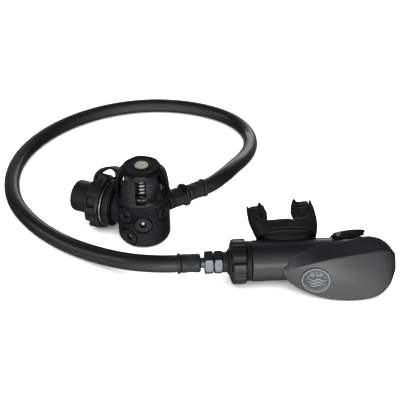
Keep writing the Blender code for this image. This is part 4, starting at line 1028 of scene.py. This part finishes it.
def mouthpiece():
    """Soft mouthpiece: a footed collar, a curved shield and two ribbed bite plates with ridged edges."""
    shield = [footed(16.5, 9.1), footed(19.6, 11.4), oval(20.2, 11.8, 17.3), oval(20.2, 11.8, 20.4),
              oval(20.6, 12.1, 20.7), oval(22.3, 13.7, 20.8), oval(22.6, 14, 21, bend=-4.6),
              oval(22.9, 14.2, 21, bend=-5), oval(23.6, 14.3, 21.2, bend=-5),
              oval(24.2, 14.2, 22, bend=-4), rim(25, 14, 23.4, -2.1), rim(26.4, 13.5, 25.2, 1.3),
              rim(27.2, 13.1, 26.6, 4.9), rim(27.5, 12.7, 28, 9.6), rim(27.2, 12.2, 29.2, 14.6),
              rim(26.6, 11.8, 30.1, 17.8), rim(25.9, 11.3, 30.6, 19.4), rim(25.5, 10.9, 30.7, 18),
              rim(24.9, 10.5, 30.5, 13.4), rim(23.6, 10, 30.2, 7), rim(21.2, 9.1, 29.9, 2.6),
              rim(18.6, 8.1, 29.6, 0.8), oval(16, 7.4, 29.3), oval(13.4, 6.1, 28.9),
              oval(12.6, 5.6, 28), oval(12.6, 5.6, 24.6), oval(16.5, 9.1, 24.6)]
    soft = solid("mouthpiece_fine", leaning(ring_body(shield, loop=True)), MOUTH)
    plate = rounded([(-2.2, 28.6), (2.2, 28.6), (2.2, 48.2), (-2.2, 48.2)], 0.9, 4, True)
    rib = rounded([(-2.8, -0.6), (2.8, -0.6), (2.8, 0.6), (-2.8, 0.6)], 0.5, 3, True)
    ridge = rounded([(9.9, 41, 2.5), (11.6, 46.4, 1.5), (14, 51, 0.8), (15.6, 49.4, 0.8), (15.6, 29),
                     (12.8, 29), (10.6, 35.6, 2.5)], 0.8, 4, True)
    pads = []
    for side in (-1, 1):
        pads.append(ring_body([[(side * x, y, z) for y, z in plate] for x in (12.4, 16, 20, 23.8)]))
        for k in range(5):
            z = 33.4 + 3.1 * k
            pads.append(ring_body([[(side * x, y, z + h) for y, h in rib] for x in (15, 22.6 + 0.3 * k)]))
        layers = []
        for y, grow in ((-4.7, 0.8), (-4.2, 0.93), (-3, 1), (0, 1), (3, 1), (4.2, 0.93), (4.7, 0.8)):
            layers.append([(side * (12.9 + (x - 12.9) * grow) + 1.6, y, 40 + (z - 40) * grow)
                           for x, z in ridge])
        pads.append(ring_body(layers))
    for pad in pads:
        carve(soft, add(leaning(pad), MOUTH))
    remesh = soft.modifiers.new("blend", "REMESH")
    remesh.mode = "VOXEL"
    remesh.voxel_size = 0.00042
    relax = soft.modifiers.new("relax", "SMOOTH")
    relax.factor, relax.iterations = 0.5, 4
    bake(soft)
    inverse = MOUTH.inverted()
    for vertex, normal in zip(soft.data.vertices, [v.normal.copy() for v in soft.data.vertices]):
        local = inverse @ (vertex.co / MM)
        if local.z > 22:
            vertex.co += normal * noise.noise(local * 0.9) * 0.22 * MM
        if local.z > 27 and local.y > 4:
            dip = 0.9 * exp(-((local.x + 5) / 2) ** 2) * min(1, (local.z - 27) / 3)
            vertex.co -= MOUTH.to_3x3() @ Vector((0, 0, dip)) * MM
    dress(soft, "silicone", BODY_OF["mouthpiece"], ("mouthpiece",), 180)

    profile = rounded([(0, 17.2), (1.4, 17.2, 0.5), (1.4, 17.9, 0.2), (1.1, 18.2, 0.1), (1.1, 19, 0.1),
                       (1.5, 19.3, 0.2), (1.5, 20.2, 0.5), (0, 20.2)], 0.3, 3, True)
    band = ring_body([oval(20.5 + grow, 12.1 + grow, z) for grow, z in profile], loop=True)
    latch = rounded([(-3.4, 17), (3.4, 17), (3.4, 20.4), (-3.4, 20.4)], 0.7, 4, True)
    latch = ring_body([[(x, y, z) for x, z in latch] for y in (-13, -13.6, -15.4, -15.8)])
    piece("mouthpiece_clamp_fine", band, MOUTH, "rubber", tools=[add(latch, MOUTH)])


def diaphragm_parts():
    ring = [(13.6, 1.8), (18.2, 1.8), (18.2, 2.8), (17.5, 3.3), (13.6, 3.3)]
    piece("diaphragm_retainer_fine", turned(ring, FINE, loop=True), DIAPHRAGM, "ring")
    rubber = [(0.4, 0.3), (16.1, 0.3), (16.1, 1.3), (13.4, 1.3, 0.2), (12.6, 0.9, 0.4), (11.8, 1.3, 0.4),
        (0.4, 1.3)]
    piece("demand_diaphragm_fine", turned(rubber, FINE), DIAPHRAGM, "silicone")
    piece("purge_spring_fine", coil(6.2, 0.45, 1.7, 6.3, 3, 36, 10), DIAPHRAGM, "steel")


# ---------------- light and floor
LOOK_OF_SLOT = {"black_body": "body", "black_gloss": "bell", "dark_matt": "matt", "case_grey": "case",
                "cover_grey": "cover", "hose_rubber": "hose"}       # other slots share their look's name


def finish_cad_nodes():
    """Fine materials on the CAD nodes that still show."""
    for name, node in frame["nodes"].items():
        if not node.hide_render:
            paint(node, LOOK_OF_SLOT.get(SLOT_OF[name], SLOT_OF[name]))


def light(name, place, target, size, power, glossy=True):
    data = bpy.data.lights.new(name, "AREA")
    data.shape = "RECTANGLE"
    data.size, data.size_y = size
    data.energy = power
    lamp = bpy.data.objects.new(name, data)
    lamp.location = place
    lamp.rotation_euler = (Vector(target) - Vector(place)).to_track_quat("-Z", "Y").to_euler()
    lamp.visible_glossy = glossy
    bpy.context.scene.collection.objects.link(lamp)


def studio():
    """Pale floor, a sky that is bright in front and dim behind, and four soft lights."""
    floor_mesh = bpy.data.meshes.new("floor")
    reach, below = 6, -0.0002
    corners = [(x * reach, y * reach, below) for x, y in ((-1, -1), (1, -1), (1, 1), (-1, 1))]
    floor_mesh.from_pydata(corners, [], [(0, 1, 2, 3)])
    floor = bpy.data.objects.new("floor", floor_mesh)
    bpy.context.scene.collection.objects.link(floor)
    paper = Shader("pale_floor")
    colour = paper.mix(paper.ramp(paper.noise(3, 2), 0, 1), (0.88, 0.88, 0.88), (0.9, 0.9, 0.9))
    floor_mesh.materials.append(paper.finish(colour, 0.9, 0, 0.1))
    floor.visible_glossy = False

    world = bpy.data.worlds.new("studio")
    world.use_nodes = True
    bpy.context.scene.world = world
    sky = Nodes(world.node_tree)
    direction = sky.node("ShaderNodeTexCoord").outputs["Generated"]
    facing = sky.node("ShaderNodeVectorMath", {0: direction, 1: (0, -0.993, -0.12)}, operation="DOT_PRODUCT")
    share = sky.ramp(facing.outputs["Value"], 0, 1, -1, 1)
    ramp = sky.node("ShaderNodeValToRGB", {"Fac": share})
    stops = ((0, 0.34), (0.12, 0.2), (0.25, 0.07), (0.45, 0.14), (0.6, 0.38), (0.75, 0.85), (0.9, 1.7),
             (1, 2.4))
    elements = ramp.color_ramp.elements
    elements.remove(elements[1])
    for at, grey in stops:
        element = elements[0] if at == 0 else elements.new(at)
        element.color = (grey, grey, grey * 1.02, 1)
    background = sky.tree.nodes["Background"]
    sky.fill(background.inputs["Color"], ramp.outputs["Color"])
    background.inputs["Strength"].default_value = 1

    light("front_low", (0.05, -1.25, 0.2), (0.03, 0, 0.03), (1.2, 0.3), 3)
    light("overhead", (0, 0.05, 2.4), (0, 0.05, 0), (6, 6), 450, glossy=False)
    light("left_fill", (-1.5, -0.2, 0.7), (0, 0, 0.03), (0.9, 0.5), 2.5)
    light("back_rim", (0.2, 1.7, 0.4), (0.05, 0, 0.02), (1.8, 0.24), 5)
    view = bpy.context.scene.view_settings
    view.view_transform = "Standard"
    view.look = "None"


first_stage()
bell()
bell_top()
spring_stack()
din_connector()
strap()
outlet()
inlet()
barrel()
hood()
badge()
exhaust()
venturi()
mouthpiece()
diaphragm_parts()
finish_cad_nodes()
studio()
